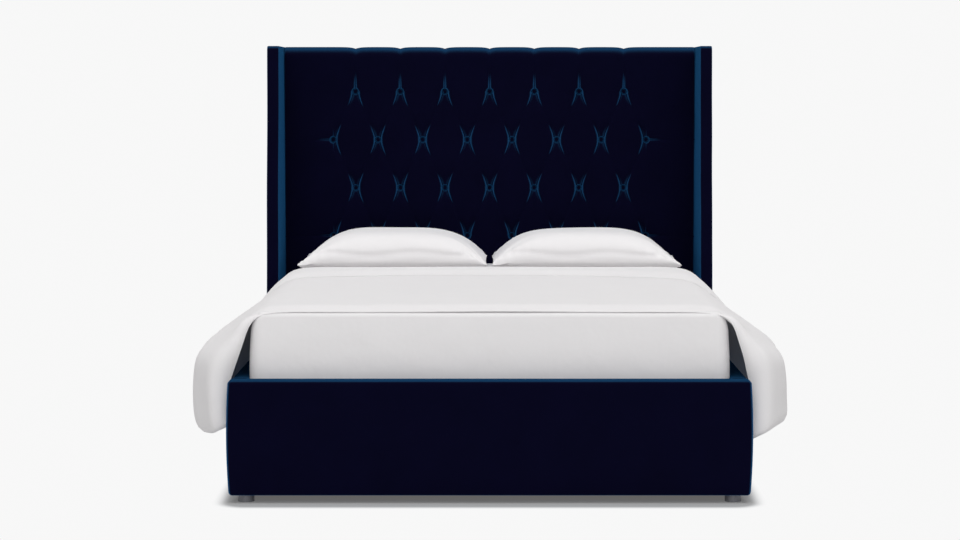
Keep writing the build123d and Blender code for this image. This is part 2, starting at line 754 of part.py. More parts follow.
def build():
    """Make every piece, drill what the fasteners pass through, and write the nodes."""
    rail_core, rail_foam, rail_cover = side_rail()
    board_core, board_foam, board_cover = footboard()
    pad_cover, pad_foam, panel, buttons, ties = headboard_pad()
    posts, cross_boards = headboard_frame()
    wing_core, wing_foam, wing_cover = wing()

    # hook plates at the foot and the head of each rail
    hooks, slotted = [], []
    for wall_y, inward in ((footboard_core_back, 1), (panel_face, -1)):
        pockets = hook_pockets(wall_y, inward)
        pockets += [mirrored(pocket) for pocket in pockets]
        if inward > 0:
            board_core = board_core.cut(*pockets)
        else:
            panel, posts = panel.cut(*pockets), posts.cut(*pockets)
        hook, slots = hook_plate(wall_y, inward), slot_plate(wall_y, inward)
        hooks += [hook, mirrored(hook)]
        slotted += [slots, mirrored(slots)]

    # wing bolts
    bolts = [wing_bolt(y, z) for y, z in wing_bolt_places()]
    slits = [wing_bolt_slit(y, z) for y, z in wing_bolt_places()]
    wing_core = wing_core.cut(*bolts)
    wing_foam, wing_cover = wing_foam.cut(*slits), wing_cover.cut(*slits)
    all_bolts = bolts + [mirrored(bolt) for bolt in bolts]
    posts = posts.cut(*all_bolts)
    pad_cover = pad_cover.cut(*slits, *[mirrored(slit) for slit in slits])

    # corner feet
    feet, studs = [], []
    front_foot_y = footboard_core_back - footboard_core_thick / 2
    for y in (front_foot_y, back_y - rear_foot_inset):
        foot, stud = corner_foot(y)
        feet += [foot, mirrored(foot)]
        studs += [stud, mirrored(stud)]
    board_core = board_core.cut(*studs[:2])
    posts = posts.cut(*studs[2:])

    # centre beam, its hangers and its legs
    slat_rows, straps = slats()
    beam = centre_rail()
    hangers = [rail_hanger(footboard_core_back, 1), rail_hanger(panel_face, -1)]
    legs, plates, nuts = [], [], []
    for name, y in zip(leg_names, leg_places()):
        leg, plate, nut, glide = centre_leg(y)
        legs.append(leg)
        plates.append(plate)
        nuts.append(nut)
        save(f"glide_{name}", glide)

    save("headboard_cover", pad_cover)
    save("headboard_foam", pad_foam)
    save("headboard_panel", panel)
    save("headboard_buttons", buttons)
    save("headboard_button_ties", ties)
    save("headboard_posts", posts)
    save("headboard_cross_boards", cross_boards)
    save("headboard_back_lining", back_lining())
    save("wing_right_core", wing_core)
    save("wing_right_foam", wing_foam)
    save("wing_right_cover", wing_cover)
    save("wing_left_core", mirrored(wing_core))
    save("wing_left_foam", mirrored(wing_foam))
    save("wing_left_cover", mirrored(wing_cover))
    save("wing_bolts", group(all_bolts))
    save("side_rail_right_core", rail_core)
    save("side_rail_right_foam", rail_foam)
    save("side_rail_right_cover", rail_cover)
    save("side_rail_left_core", mirrored(rail_core))
    save("side_rail_left_foam", mirrored(rail_foam))
    save("side_rail_left_cover", mirrored(rail_cover))
    save("footboard_core", board_core)
    save("footboard_foam", board_foam)
    save("footboard_cover", board_cover)
    save("rail_hook_plates", group(hooks))
    save("rail_slot_plates", group(slotted))
    save("slat_cleats", group([cleat(), mirrored(cleat())]))
    save("slats", slat_rows)
    save("slat_straps", straps)
    save("centre_rail", beam)
    save("centre_rail_hangers", group(hangers))
    save("centre_legs", group(legs))
    save("centre_leg_plates", group(plates))
    save("centre_leg_nuts", group(nuts))
    save("corner_feet", group(feet))
    save("mattress", mattress_block(0))
    save("fitted_sheet", fitted_sheet())
    save("duvet", duvet())
    save("pillow_right", pillow())
    save("pillow_left", mirrored(pillow()))


build()
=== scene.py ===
"""Dresses the wingback bed: velvet, bedding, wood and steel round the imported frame, with camera and light."""

import logging
import math
from dataclasses import dataclass
from enum import Enum
from typing import Iterable, Optional, Sequence, Union

import bmesh
import bpy
import numpy as np
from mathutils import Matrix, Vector


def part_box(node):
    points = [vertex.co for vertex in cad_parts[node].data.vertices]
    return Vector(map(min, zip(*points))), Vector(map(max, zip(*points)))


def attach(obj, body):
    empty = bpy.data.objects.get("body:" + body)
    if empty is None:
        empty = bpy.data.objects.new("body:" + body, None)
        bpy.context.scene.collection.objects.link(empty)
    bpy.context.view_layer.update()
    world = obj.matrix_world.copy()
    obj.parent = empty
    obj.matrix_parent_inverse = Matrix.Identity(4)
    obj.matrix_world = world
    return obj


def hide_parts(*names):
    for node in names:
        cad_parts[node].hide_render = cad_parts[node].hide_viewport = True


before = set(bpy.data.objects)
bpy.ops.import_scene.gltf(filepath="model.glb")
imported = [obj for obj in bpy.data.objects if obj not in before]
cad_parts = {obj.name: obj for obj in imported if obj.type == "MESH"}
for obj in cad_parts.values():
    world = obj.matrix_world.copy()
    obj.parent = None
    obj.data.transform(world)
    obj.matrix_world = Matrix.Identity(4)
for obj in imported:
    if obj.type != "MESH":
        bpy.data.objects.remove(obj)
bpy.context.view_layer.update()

ROOT = "bed"
WELD = 1e-5
TINY = 1e-9
CORNER_STEPS = 3
CORNER_TURN = math.radians(15)
RIPPLES = 6
RIPPLE_SPREAD = (0.6, 1.6)
SPLINE_PARTS = 12
EDGES = (np.s_[0], np.s_[-1], np.s_[:, 0], np.s_[:, -1])

Colour = tuple[float, float, float]
Span = tuple[float, float]
Names = tuple[str, ...]
Piece = bpy.types.Object
Net = np.ndarray
Amount = Union[float, Net]
Ring = tuple[Net, Amount]
Value = Union["Wire", float]
Tone = Union["Wire", Colour]

logging.basicConfig(level=logging.INFO, format="%(message)s")
log = logging.getLogger("bed")


class Side(Enum):
    """A side of the bed, for someone who stands at its foot."""

    LEFT = -1
    RIGHT = 1


class Run(Enum):
    """The axis that a grain, a weave or a panel runs along."""

    X = 0
    Y = 1
    Z = 2


# Shader maths


class Wire:
    """A socket that sums like a number: each operator adds one Math node."""

    def __init__(self, shader: "Shader", socket: bpy.types.NodeSocket) -> None:
        """Keep the socket and the shader that it belongs to."""
        self.shader = shader
        self.socket = socket

    def maths(self, operation: str, *values: Value, clamp: bool = False) -> "Wire":
        """Add a Math node on values in order, held between 0 and 1 where clamp says so."""
        settings = {"operation": operation, "use_clamp": clamp}
        return self.shader.node("ShaderNodeMath", settings, dict(enumerate(values)))

    def __add__(self, other: Value) -> "Wire":
        """Sum."""
        return self.maths("ADD", self, other)

    def __radd__(self, other: float) -> "Wire":
        """Sum with a number on the left."""
        return self.maths("ADD", other, self)

    def __sub__(self, other: Value) -> "Wire":
        """Difference."""
        return self.maths("SUBTRACT", self, other)

    def __rsub__(self, other: float) -> "Wire":
        """Difference from a number."""
        return self.maths("SUBTRACT", other, self)

    def __mul__(self, other: Value) -> "Wire":
        """Product."""
        return self.maths("MULTIPLY", self, other)

    def __rmul__(self, other: float) -> "Wire":
        """Product with a number on the left."""
        return self.maths("MULTIPLY", other, self)

    def __truediv__(self, other: Value) -> "Wire":
        """Quotient."""
        return self.maths("DIVIDE", self, other)

    def __pow__(self, other: float) -> "Wire":
        """Power."""
        return self.maths("POWER", self, other)

    def part(self, axis: Run) -> "Wire":
        """One part of a vector."""
        return self.shader.node("ShaderNodeSeparateXYZ", {}, {"Vector": self}, axis.name)

    def beyond(self, reach: float) -> "Wire":
        """How far the value lies past a reach on either side of 0, and 0 within it."""
        return self.maths("MAXIMUM", self.maths("ABSOLUTE", self) - reach, 0.0)

    def clipped(self) -> "Wire":
        """The value held between 0 and 1."""
        return self.maths("ADD", self, 0.0, clamp=True)

    def eased(self) -> "Wire":
        """The clipped value with a soft start and end."""
        held = self.clipped()
        return held * held * (3.0 - 2.0 * held)


def toned(colour: Tone) -> Union[Wire, tuple[float, ...]]:
    """A colour as a socket takes it, or the wire that carries one."""
    return colour if isinstance(colour, Wire) else (*colour, 1.0)


class Shader:
    """One material or world and the nodes that make it."""

    def __init__(self, name: str, owner: Optional[bpy.types.ID] = None) -> None:
        """Empty the tree of a new material, or of the owner that is given.

        Args:
            name: the new material's name.
            owner: a world, where the nodes are for one.
        """
        self.owner = owner or bpy.data.materials.new(name)
        self.owner.use_nodes = True
        self.tree = self.owner.node_tree
        self.tree.nodes.clear()

    def add(self, kind: str, settings: dict, inputs: dict) -> bpy.types.Node:
        """Add a node.

        Args:
            kind: the node's type.
            settings: its properties, which are set first.
            inputs: a value or a Wire for each socket, by name or place.

        Returns:
            The new node.
        """
        made = self.tree.nodes.new(kind)
        for name, value in settings.items():
            setattr(made, name, value)
        for key, value in inputs.items():
            if isinstance(value, Wire):
                self.tree.links.new(value.socket, made.inputs[key])
            else:
                made.inputs[key].default_value = value
        return made

    def node(self, kind: str, settings: dict, inputs: dict, output: Union[int, str] = 0) -> Wire:
        """Add a node and hand back one of its outputs."""
        return Wire(self, self.add(kind, settings, inputs).outputs[output])

    def place(self, scale: Sequence[float] = (1.0, 1.0, 1.0)) -> Wire:
        """The point in the bed's own frame, in metres, stretched by a scale on each axis."""
        point = self.node("ShaderNodeTexCoord", {}, {}, "Object")
        return self.node("ShaderNodeMapping", {}, {"Vector": point, "Scale": tuple(scale)})

    def noise(self, point: Wire, scale: float, detail: float = 3.0, rough: float = 0.5) -> Wire:
        """Noise between 0 and 1 at a number of waves to the metre."""
        inputs = {"Vector": point, "Scale": scale, "Detail": detail, "Roughness": rough}
        return self.node("ShaderNodeTexNoise", {}, inputs, "Fac")

    def mix(self, share: Value, first: Tone, second: Tone) -> Wire:
        """Blend two colours by a share."""
        inputs = {0: share, 6: toned(first), 7: toned(second)}
        return self.node("ShaderNodeMix", {"data_type": "RGBA"}, inputs, 2)

    def blend(self, share: Wire, first: Wire, second: Wire) -> Wire:
        """Blend two surfaces by a share."""
        return self.node("ShaderNodeMixShader", {}, {0: share, 1: first, 2: second})

    def rays(self, *kinds: str) -> Wire:
        """1 for the kinds of ray that are named, and 0 for the rest."""
        chosen = [self.node("ShaderNodeLightPath", {}, {}, f"Is {kind} Ray") for kind in kinds]
        return sum(chosen[1:], chosen[0]).clipped()

    def bump(self, height: Wire, depth: float, under: Optional[Wire] = None) -> Wire:
        """Bump of a real depth in metres, over an earlier one where there is one."""
        earlier = {} if under is None else {"Normal": under}
        return self.node("ShaderNodeBump", {}, {"Distance": depth, "Height": height, **earlier}, "Normal")

    def surface(self, colour: Tone, rough: Value, **facts: Union[Wire, float, tuple]) -> Wire:
        """A Principled surface; facts are its other sockets, with _ for a blank."""
        rest = {name.replace("_", " "): value for name, value in facts.items()}
        return self.node("ShaderNodeBsdfPrincipled", {}, {0: toned(colour), "Roughness": rough, **rest})

    def done(self, surface: Wire, output: str = "ShaderNodeOutputMaterial") -> bpy.types.ID:
        """Join a surface to the output and hand back the owner."""
        self.add(output, {}, {"Surface": surface})
        return self.owner


# Finishes


@dataclass(frozen=True)
class Velvet:
    """Short-pile velvet: almost black face on, and blue where its pile is seen from the side, a sheen that is
    painted into the colour of a second surface.
    """

    name: str = "navy_velvet"
    ground: Colour = (0.0014, 0.0013, 0.0088)
    # The painted sheen: its blue where the pile is seen from the side, and (rim) its blue at the most grazing
    # angles.
    glow: Colour = (0.0135, 0.074, 0.184)
    rim: Colour = (0.019, 0.118, 0.270)
    sheen: Colour = (0.06, 0.4, 0.9)
    worn: float = 1.6
    # How far upward faces lose the painted sheen: painted shade on tops.
    top_shade: float = 0.62
    start: float = 0.085
    rise: float = 2.5
    pile_waves: float = 1400.0
    pile_depth: float = 0.0002
    nap_waves: float = 7.0
    nap_depth: float = 0.0012
    rough: float = 0.95
    gloss: float = 0.03
    sheen_weight: float = 0.05
    sheen_rough: float = 0.35
    rim_power: float = 4.0
    pile_fade: Span = (0.85, 0.3)

    def material(self) -> bpy.types.Material:
        """Build the finish.

        Returns:
            The material.
        """
        shader = Shader(self.name)
        place = shader.place()
        nap = shader.noise(place, self.nap_waves, detail=4.0, rough=0.6)
        pile = shader.noise(place, self.pile_waves, detail=2.0)
        normal = shader.bump(pile, self.pile_depth, shader.bump(nap, self.nap_depth))
        ground = shader.mix(nap, self.ground, tuple(self.worn * part for part in self.ground))
        base = shader.surface(
            ground, self.rough, Normal=normal, Specular_IOR_Level=self.gloss,
            Sheen_Weight=self.sheen_weight, Sheen_Roughness=self.sheen_rough, Sheen_Tint=toned(self.sheen),
        )
        # Painted sheen: a second, plain surface whose colour is the blue sheen takes over where the pile is
        # seen from the side, with painted shade on upward faces.
        facing = shader.node("ShaderNodeLayerWeight", {}, {"Blend": 0.5, "Normal": normal}, "Facing")
        upward = shader.node("ShaderNodeNewGeometry", {}, {}, "Normal").part(Run.Z)
        glow = shader.mix((facing ** self.rim_power).clipped(), self.glow, self.rim)
        glow = shader.mix(self.top_shade * upward.clipped(), glow, self.ground)
        lit = shader.surface(glow, 1.0, Normal=normal, Specular_IOR_Level=0.0)
        share = ((facing - self.start) * self.rise).eased() * (self.pile_fade[0] + self.pile_fade[1] * pile)
        return shader.done(shader.blend(share.clipped(), base, lit))


@dataclass(frozen=True)
class Cotton:
    """Washed white cotton with a close weave and soft creases, its colour darker in the crease hollows as
    painted shade.
    """

    name: str = "white_cotton"
    colour: Colour = (0.82, 0.805, 0.812)
    # The darker colour: random weave tone, and painted shade in the crease hollows.
    shade: Colour = (0.77, 0.755, 0.762)
    thread_waves: float = 900.0
    thread_depth: float = 0.0002
    crease_waves: float = 9.0
    crease_depth: float = 0.004
    mottle: Span = (0.5, 0.3)
    rough: float = 0.88
    gloss: float = 0.2
    sheen_weight: float = 0.05
    sheen_rough: float = 0.5

    def material(self) -> bpy.types.Material:
        """Build the finish.

        Returns:
            The material.
        """
        shader = Shader(self.name)
        place = shader.place()
        threads = shader.noise(place, self.thread_waves, detail=1.0)
        creases = shader.noise(place, self.crease_waves, detail=3.0, rough=0.45)
        normal = shader.bump(threads, self.thread_depth, shader.bump(creases, self.crease_depth))
        # Colour follows the weave's tone and the crease bump's height, so the hollows carry painted shade.
        mottle = (threads * self.mottle[0] + creases * self.mottle[1]).clipped()
        return shader.done(shader.surface(
            shader.mix(mottle, self.shade, self.colour), self.rough, Normal=normal,
            Specular_IOR_Level=self.gloss, Sheen_Weight=self.sheen_weight, Sheen_Roughness=self.sheen_rough,
        ))


@dataclass(frozen=True)
class Timber:
    """Planed softwood with its grain along one axis."""

    name: str
    run: Run
    pale: Colour = (0.62, 0.43, 0.24)
    dark: Colour = (0.42, 0.25, 0.12)
    ring_waves: float = 26.0
    pores: float = 30.0
    stretch: float = 0.05
    depth: float = 0.0006
    shares: Span = (0.8, 0.25)
    rough: Span = (0.55, 0.2)

    def material(self) -> bpy.types.Material:
        """Build the finish.

        Returns:
            The material.
        """
        shader = Shader(self.name)
        place = shader.place([self.stretch if axis is self.run else 1.0 for axis in Run])
        rings = shader.noise(place, self.ring_waves, detail=5.0, rough=0.65)
        pores = shader.noise(place, self.ring_waves * self.pores, detail=2.0)
        grain = (rings * self.shares[0] + pores * self.shares[1]).clipped()
        colour = shader.mix(grain, self.dark, self.pale)
        rough = self.rough[0] + self.rough[1] * pores
        return shader.done(shader.surface(colour, rough, Normal=shader.bump(grain, self.depth)))


@dataclass(frozen=True)
class Metal:
    """A plain metal, plastic or foam with a fine brushed or grainy variation."""

    name: str
    colour: Colour
    rough: float
    metallic: float
    waves: float = 160.0
    depth: float = 0.00015
    worn: float = 1.2
    brushing: Span = (0.8, 0.4)

    def material(self) -> bpy.types.Material:
        """Build the finish.

        Returns:
            The material.
        """
        shader = Shader(self.name)
        fine = shader.noise(shader.place(), self.waves, detail=4.0)
        colour = shader.mix(fine, self.colour, tuple(self.worn * part for part in self.colour))
        rough = self.rough * self.brushing[0] + fine * (self.rough * self.brushing[1])
        normal = shader.bump(fine, self.depth)
        return shader.done(shader.surface(colour, rough, Normal=normal, Metallic=self.metallic))


@dataclass(frozen=True)
class Cloth:
    """A woven or matted cloth with ribs along one axis."""

    name: str
    colour: Colour
    light: Colour
    run: Run = Run.X
    rib_waves: float = 350.0
    fibres: float = 1.7
    depth: float = 0.0004
    rib_share: float = 0.5
    rough: float = 0.9
    gloss: float = 0.2

    def material(self) -> bpy.types.Material:
        """Build the finish.

        Returns:
            The material.
        """
        shader = Shader(self.name)
        place = shader.place()
        settings = {"bands_direction": self.run.name}
        ribs = shader.node("ShaderNodeTexWave", settings, {"Vector": place, "Scale": self.rib_waves}, "Fac")
        fibres = shader.noise(place, self.rib_waves * self.fibres, detail=2.0)
        weave = (ribs * self.rib_share + fibres * (1 - self.rib_share)).clipped()
        colour, normal = shader.mix(weave, self.colour, self.light), shader.bump(weave, self.depth)
        return shader.done(shader.surface(colour, self.rough, Normal=normal, Specular_IOR_Level=self.gloss))


class Finishes:
    """Every finish of the bed: pieces and nodes take them by name."""

    made: dict[str, bpy.types.Material] = {}

    def build(self) -> None:
        """Build all the materials."""
        ply = {"pale": (0.58, 0.42, 0.26), "dark": (0.45, 0.31, 0.18), "ring_waves": 18.0}
        every = (
            Velvet(), Cotton(), *(Timber(f"pine_{run.name.lower()}", run) for run in Run),
            Timber("plywood", Run.Z, **ply),
            Metal("plated_steel", (0.42, 0.42, 0.43), 0.35, 1.0),
            Metal("foot_grey_metal", (0.165, 0.165, 0.18), 0.42, 0.35, 90.0),
            Metal("glide_nylon", (0.02, 0.02, 0.021), 0.5, 0.0, 300.0),
            Metal("upholstery_foam", (0.72, 0.6, 0.36), 0.95, 0.0, 500.0, 0.001),
            Cloth("back_lining_cloth", (0.010, 0.010, 0.012), (0.022, 0.022, 0.026)),
            Cloth("slat_webbing", (0.02, 0.02, 0.02), (0.06, 0.06, 0.06), Run.Y),
            Cloth("tufting_tape", (0.55, 0.5, 0.42), (0.7, 0.66, 0.58), Run.Y),
            Cloth("mattress_ticking", (0.6, 0.6, 0.61), (0.72, 0.71, 0.7), Run.X, 60.0),
        )
        self.made.update({finish.name: finish.material() for finish in every})


# Mesh code


def smoothstep(share: Amount) -> Amount:
    """Ease from 0 to 1."""
    held = np.clip(share, 0.0, 1.0)
    return held * held * (3 - 2 * held)


def rounded(corners: Sequence[Span], radii: Sequence[float], step: float) -> Net:
    """A closed outline with rounded corners, evenly divided.

    Args:
        corners: the polygon's corners, anticlockwise.
        radii: each corner's radius.
        step: the longest distance between points.

    Returns:
        The outline's points.
    """
    line: list[Net] = []
    for index, (corner, radius) in enumerate(zip(corners, radii)):
        here = np.array(corner, float)
        back = np.array(corners[index - 1], float) - here
        ahead = np.array(corners[(index + 1) % len(corners)], float) - here
        back, ahead = back / np.linalg.norm(back), ahead / np.linalg.norm(ahead)
        half = math.acos(float(np.clip(back @ ahead, -1, 1))) / 2
        reach = radius / math.tan(half)
        middle = here + (back + ahead) / np.linalg.norm(back + ahead) * (radius / math.sin(half))
        start, end = here + back * reach - middle, here + ahead * reach - middle
        turn = math.atan2(start[0] * end[1] - start[1] * end[0], float(start @ end))
        steps = max(CORNER_STEPS, math.ceil(abs(turn) / CORNER_TURN))
        for angle in np.linspace(0.0, turn, steps + 1):
            spin = np.array([[math.cos(angle), -math.sin(angle)], [math.sin(angle), math.cos(angle)]])
            line.append(middle + spin @ start)
    points: list[Net] = []
    for here, ahead in zip(line, line[1:] + line[:1]):
        parts = max(1, math.ceil(float(np.linalg.norm(ahead - here)) / step))
        points += [here + (ahead - here) * part / parts for part in range(parts)]
    return np.array(points)


def outward(loop: Net) -> Net:
    """Outward unit normals of a closed anticlockwise outline."""
    along = np.roll(loop, -1, 0) - np.roll(loop, 1, 0)
    return np.stack([along[:, 1], -along[:, 0]], 1) / np.linalg.norm(along, axis=1)[:, None]


def ripple(points: Net, seed: int, wavelength: float, depth: float) -> Net:
    """A gentle, repeatable unevenness.

    Args:
        points: the places, in any number of rows.
        seed: the seed of its waves.
        wavelength: their usual length.
        depth: how far they reach together.

    Returns:
        A signed distance for each place.
    """
    chance = np.random.default_rng(seed)
    total = np.zeros(points.shape[:-1])
    for _ in range(RIPPLES):
        way = chance.normal(size=3)
        way *= 2 * math.pi / (wavelength * chance.uniform(*RIPPLE_SPREAD) * np.linalg.norm(way))
        total += np.sin(points @ way + chance.uniform(0, 2 * math.pi))
    return total * depth / RIPPLES


def lofted(rows: Iterable[Ring]) -> Net:
    """A net from level loops and their heights."""
    return np.array([np.column_stack([loop, np.broadcast_to(z, len(loop))]) for loop, z in rows])


class Form:
    """The points and faces of one piece, gathered from nets of points."""

    def __init__(self) -> None:
        """Start with nothing."""
        self.points: list[Net] = []
        self.faces: list[tuple[int, ...]] = []

    def net(self, net: Net, closed: bool = False) -> "Form":
        """Join a net of points by quads.

        Args:
            net: rows of points.
            closed: whether each row's end joins its start.

        Returns:
            This form.
        """
        rows, columns = net.shape[:2]
        start = sum(map(len, self.points))
        self.points.append(net.reshape(-1, 3))
        for row in range(rows - 1):
            low, high = start + row * columns, start + (row + 1) * columns
            for column in range(columns if closed else columns - 1):
                ahead = (column + 1) % columns
                self.faces.append((low + column, low + ahead, high + ahead, high + column))
        return self

    def lid(self, loop: Net) -> "Form":
        """Close a loop with a fan round its middle.

        Args:
            loop: the loop's points.

        Returns:
            This form.
        """
        start, count = sum(map(len, self.points)), len(loop)
        self.points.append(np.vstack([loop, loop.mean(0)]))
        self.faces += [(start + index, start + (index + 1) % count, start + count) for index in range(count)]
        return self

    def piece(self, name: str, slot: str, node: str, fill: Optional[float] = None) -> Piece:
        """Make the piece, which rides on the bed.

        Args:
            name: its name.
            slot: its finish.
            node: the CAD node that it stands for.
            fill: how tight it is, where it is padded; not used.

        Returns:
            The new object, smooth-shaded and linked to the scene.
        """
        mesh = bpy.data.meshes.new(name)
        mesh.from_pydata(np.vstack(self.points).tolist(), [], self.faces)
        shape = bmesh.new()
        shape.from_mesh(mesh)
        bmesh.ops.remove_doubles(shape, verts=shape.verts, dist=WELD)
        bmesh.ops.dissolve_degenerate(shape, edges=shape.edges, dist=WELD)
        bmesh.ops.recalc_face_normals(shape, faces=shape.faces)
        shape.to_mesh(mesh)
        shape.free()
        mesh.materials.append(Finishes.made[slot])
        mesh.polygons.foreach_set("use_smooth", [True] * len(mesh.polygons))
        made = linked(name, mesh)
        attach(made, ROOT)
        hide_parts(node)
        log.info("%s: %d faces", name, len(mesh.polygons))
        return made


def linked(name: str, data: bpy.types.ID) -> Piece:
    """Link a new object to the scene.

    Args:
        name: its name.
        data: its mesh, lamp or camera.

    Returns:
        The object.
    """
    made = bpy.data.objects.new(name, data)
    bpy.context.scene.collection.objects.link(made)
    return made


def shape_with(piece: Piece, kind: str, **settings: object) -> None:
    """Add a modifier to a piece and apply it.

    Args:
        piece: the piece.
        kind: the modifier's type.
        settings: its properties.
    """
    modifier = piece.modifiers.new(kind, kind)
    for name, value in settings.items():
        setattr(modifier, name, value)
    graph = bpy.context.evaluated_depsgraph_get()
    mesh = bpy.data.meshes.new_from_object(piece.evaluated_get(graph), depsgraph=graph)
    piece.modifiers.remove(modifier)
    old, piece.data = piece.data, mesh
    bpy.data.meshes.remove(old)


def recessed(piece: Piece, low: Sequence[float], high: Sequence[float]) -> None:
    """Cut a squared recess into a piece.

    Args:
        piece: the piece.
        low: the recess's lowest corner.
        high: its highest corner.
    """
    shape = bmesh.new()
    bmesh.ops.create_cube(shape, size=1.0)
    for vert in shape.verts:
        vert.co = Vector(a + (b - a) * (part + 0.5) for a, b, part in zip(low, high, vert.co))
    mesh = bpy.data.meshes.new("recess")
    shape.to_mesh(mesh)
    shape.free()
    cutter = linked("recess", mesh)
    shape_with(piece, "BOOLEAN", operation="DIFFERENCE", solver="EXACT", object=cutter)
    bpy.data.objects.remove(cutter)


# Upholstered panels


@dataclass
class PaddedPanel:
    """A flat board with velvet drawn round it: rounded edges and softly crowned faces."""

    name: str
    node: str
    outline: Net
    across: Run
    span: Span
    edge_radius: float
    foot_radius: float = 0.0035
    crown: float = 0.0
    unevenness: float = 0.0012
    wavelength: float = 0.35
    seed: int = 3
    rings: int = 9
    turns: int = 7
    bays: int = 1
    fill: float = 0.9

    def face(self, level: float, way: int) -> list[Ring]:
        """One face, from its middle out and round its edge.

        Args:
            level: where the face lies across the panel.
            way: -1 for the lower face and 1 for the upper one.

        Returns:
            Each ring's outline and depths.
        """
        normal, middle = outward(self.outline), self.outline.mean(0)
        lower = np.clip(-normal[:, 1:], 0.0, 1.0) ** 2
        radius = self.edge_radius + (self.foot_radius - self.edge_radius) * lower
        flat = self.outline - normal * radius
        rings: list[Ring] = []
        for share in np.linspace(0.0, 1.0, self.rings, endpoint=False):
            rings.append((middle + (flat - middle) * share, level + way * self.crown * (1 - share ** 2)))
        for angle in np.linspace(0, math.pi / 2, self.turns):
            inset, rise = 1 - math.sin(angle), 1 - math.cos(angle)
            rings.append((self.outline - normal * radius * inset, (level - way * radius * rise)[:, 0]))
        return rings

    def build(self) -> Piece:
        """Build and seat the panel's cover.

        Returns:
            The cover.
        """
        low, high = self.span
        levels = np.linspace(0, 1, self.bays + 1)[1:-1]
        sides = [(self.outline, low + (high - low) * share) for share in levels]
        net = lofted([*self.face(low, -1), *sides, *self.face(high, 1)[::-1]])
        net = net[..., np.insert([0, 1], self.across.value, 2)]
        uneven = ripple(net, self.seed, self.wavelength, self.unevenness)
        uneven[[0, -1]] = uneven[[0, -1]].mean(1, keepdims=True)
        net[..., self.across.value] += uneven
        return Form().net(net, closed=True).piece(self.name, "navy_velvet", self.node, self.fill)


@dataclass
class Base:
    """The two side rails and the footboard, with short returns inside over bare boards."""

    edge_radius: float = 0.0115
    corner_radius: float = 0.0125
    rail_corner: float = 0.010
    foot_corner: float = 0.0045
    side_bend: float = 0.05
    end_radius: float = 0.0015
    face_reach: float = 0.003
    side_reach: float = 0.006
    wrap: float = 0.0015
    cover_return: float = 0.090
    skin: float = 0.004
    crown: float = 0.0065
    crown_rows: int = 12
    bare: float = 0.0005
    clear: float = 0.02
    step: float = 0.025
    bays: int = 12
    unevenness: float = 0.0008

    def crowned_side(self, flat: float, bottom: float, top: float) -> list[Span]:
        """The softly crowned outer side of a panel.

        Args:
            flat: how far out it starts.
            bottom: its foot.
            top: its top.

        Returns:
            Places from its foot to its top.
        """
        rows = np.linspace(bottom, top, self.crown_rows)
        bulge = self.crown * (1 - ((rows - rows.mean()) / (top - rows.mean())) ** 2)
        return [(flat + grow, z) for grow, z in zip(bulge, rows)]

    def rail(self, side: Side) -> None:
        """One side rail's cover.

        Args:
            side: the rail's side of the bed.
        """
        node = f"side_rail_{side.name.lower()}_cover"
        low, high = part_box(node)
        near, far = sorted((abs(low.x), abs(high.x)))
        bottom = low.z - self.wrap
        outer = self.crowned_side(far - self.crown, bottom, high.z)
        corners = [*outer, (near, high.z), (near, bottom)]
        bends = [self.side_bend] * (self.crown_rows - 2)
        radii = [self.foot_corner, *bends, self.rail_corner, self.rail_corner, self.foot_corner]
        if side is Side.LEFT:
            corners, radii = [(-x, z) for x, z in corners[::-1]], radii[::-1]
        cover = PaddedPanel(
            name=f"rail_velvet_{side.name.lower()}", node=node, outline=rounded(corners, radii, self.step),
            across=Run.Y, span=(low.y, high.y), edge_radius=self.end_radius, foot_radius=self.end_radius,
            unevenness=0.0, bays=self.bays,
        ).build()
        cut = sorted((side.value * (near - self.clear), side.value * (near + self.skin + self.bare)))
        start = (cut[0], low.y - self.clear, bottom - self.clear)
        recessed(cover, start, (cut[1], high.y + self.clear, high.z - self.cover_return))

    def footboard(self) -> None:
        """The footboard's cover."""
        low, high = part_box("footboard_cover")
        bottom = low.z - self.wrap
        right = self.crowned_side(high.x - self.crown + self.side_reach, bottom, high.z)
        left = [(-x, z) for x, z in right[::-1]]
        ends = [self.corner_radius, *[self.side_bend] * (self.crown_rows - 2), self.corner_radius]
        cover = PaddedPanel(
            name="footboard_velvet", node="footboard_cover",
            outline=rounded(right + left, ends * 2, self.step), across=Run.Y,
            span=(low.y - self.face_reach, high.y), edge_radius=self.edge_radius,
            unevenness=self.unevenness, seed=11,
        ).build()
        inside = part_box("side_rail_right_cover")[0].x + self.skin
        start = (-inside, high.y - self.skin - self.bare, bottom - self.clear)
        recessed(cover, start, (inside, high.y + self.clear, high.z - self.cover_return))

    def build(self) -> None:
        """Build all three."""
        for side in Side:
            self.rail(side)
        self.footboard()


@dataclass
class Wings:
    """The two raked wings beside the headboard."""

    top_reach: float = 0.219
    radii: tuple[float, ...] = (0.012, 0.010, 0.010, 0.020)
    edge_radius: float = 0.004
    crown: float = 0.0012
    wrap: float = 0.0015
    step: float = 0.02

    def build(self) -> None:
        """Build both."""
        top_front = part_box("headboard_cover")[0].y - self.top_reach
        for side in Side:
            node = f"wing_{side.name.lower()}_cover"
            low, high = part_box(node)
            bottom = low.z - self.wrap
            corners = [(low.y, bottom), (high.y, bottom), (high.y, high.z), (top_front, high.z)]
            PaddedPanel(
                name=f"wing_velvet_{side.name.lower()}", node=node,
                outline=rounded(corners, self.radii, self.step), across=Run.X, span=(low.x, high.x),
                edge_radius=self.edge_radius, crown=self.crown, seed=20 + side.value,
            ).build()


# Headboard


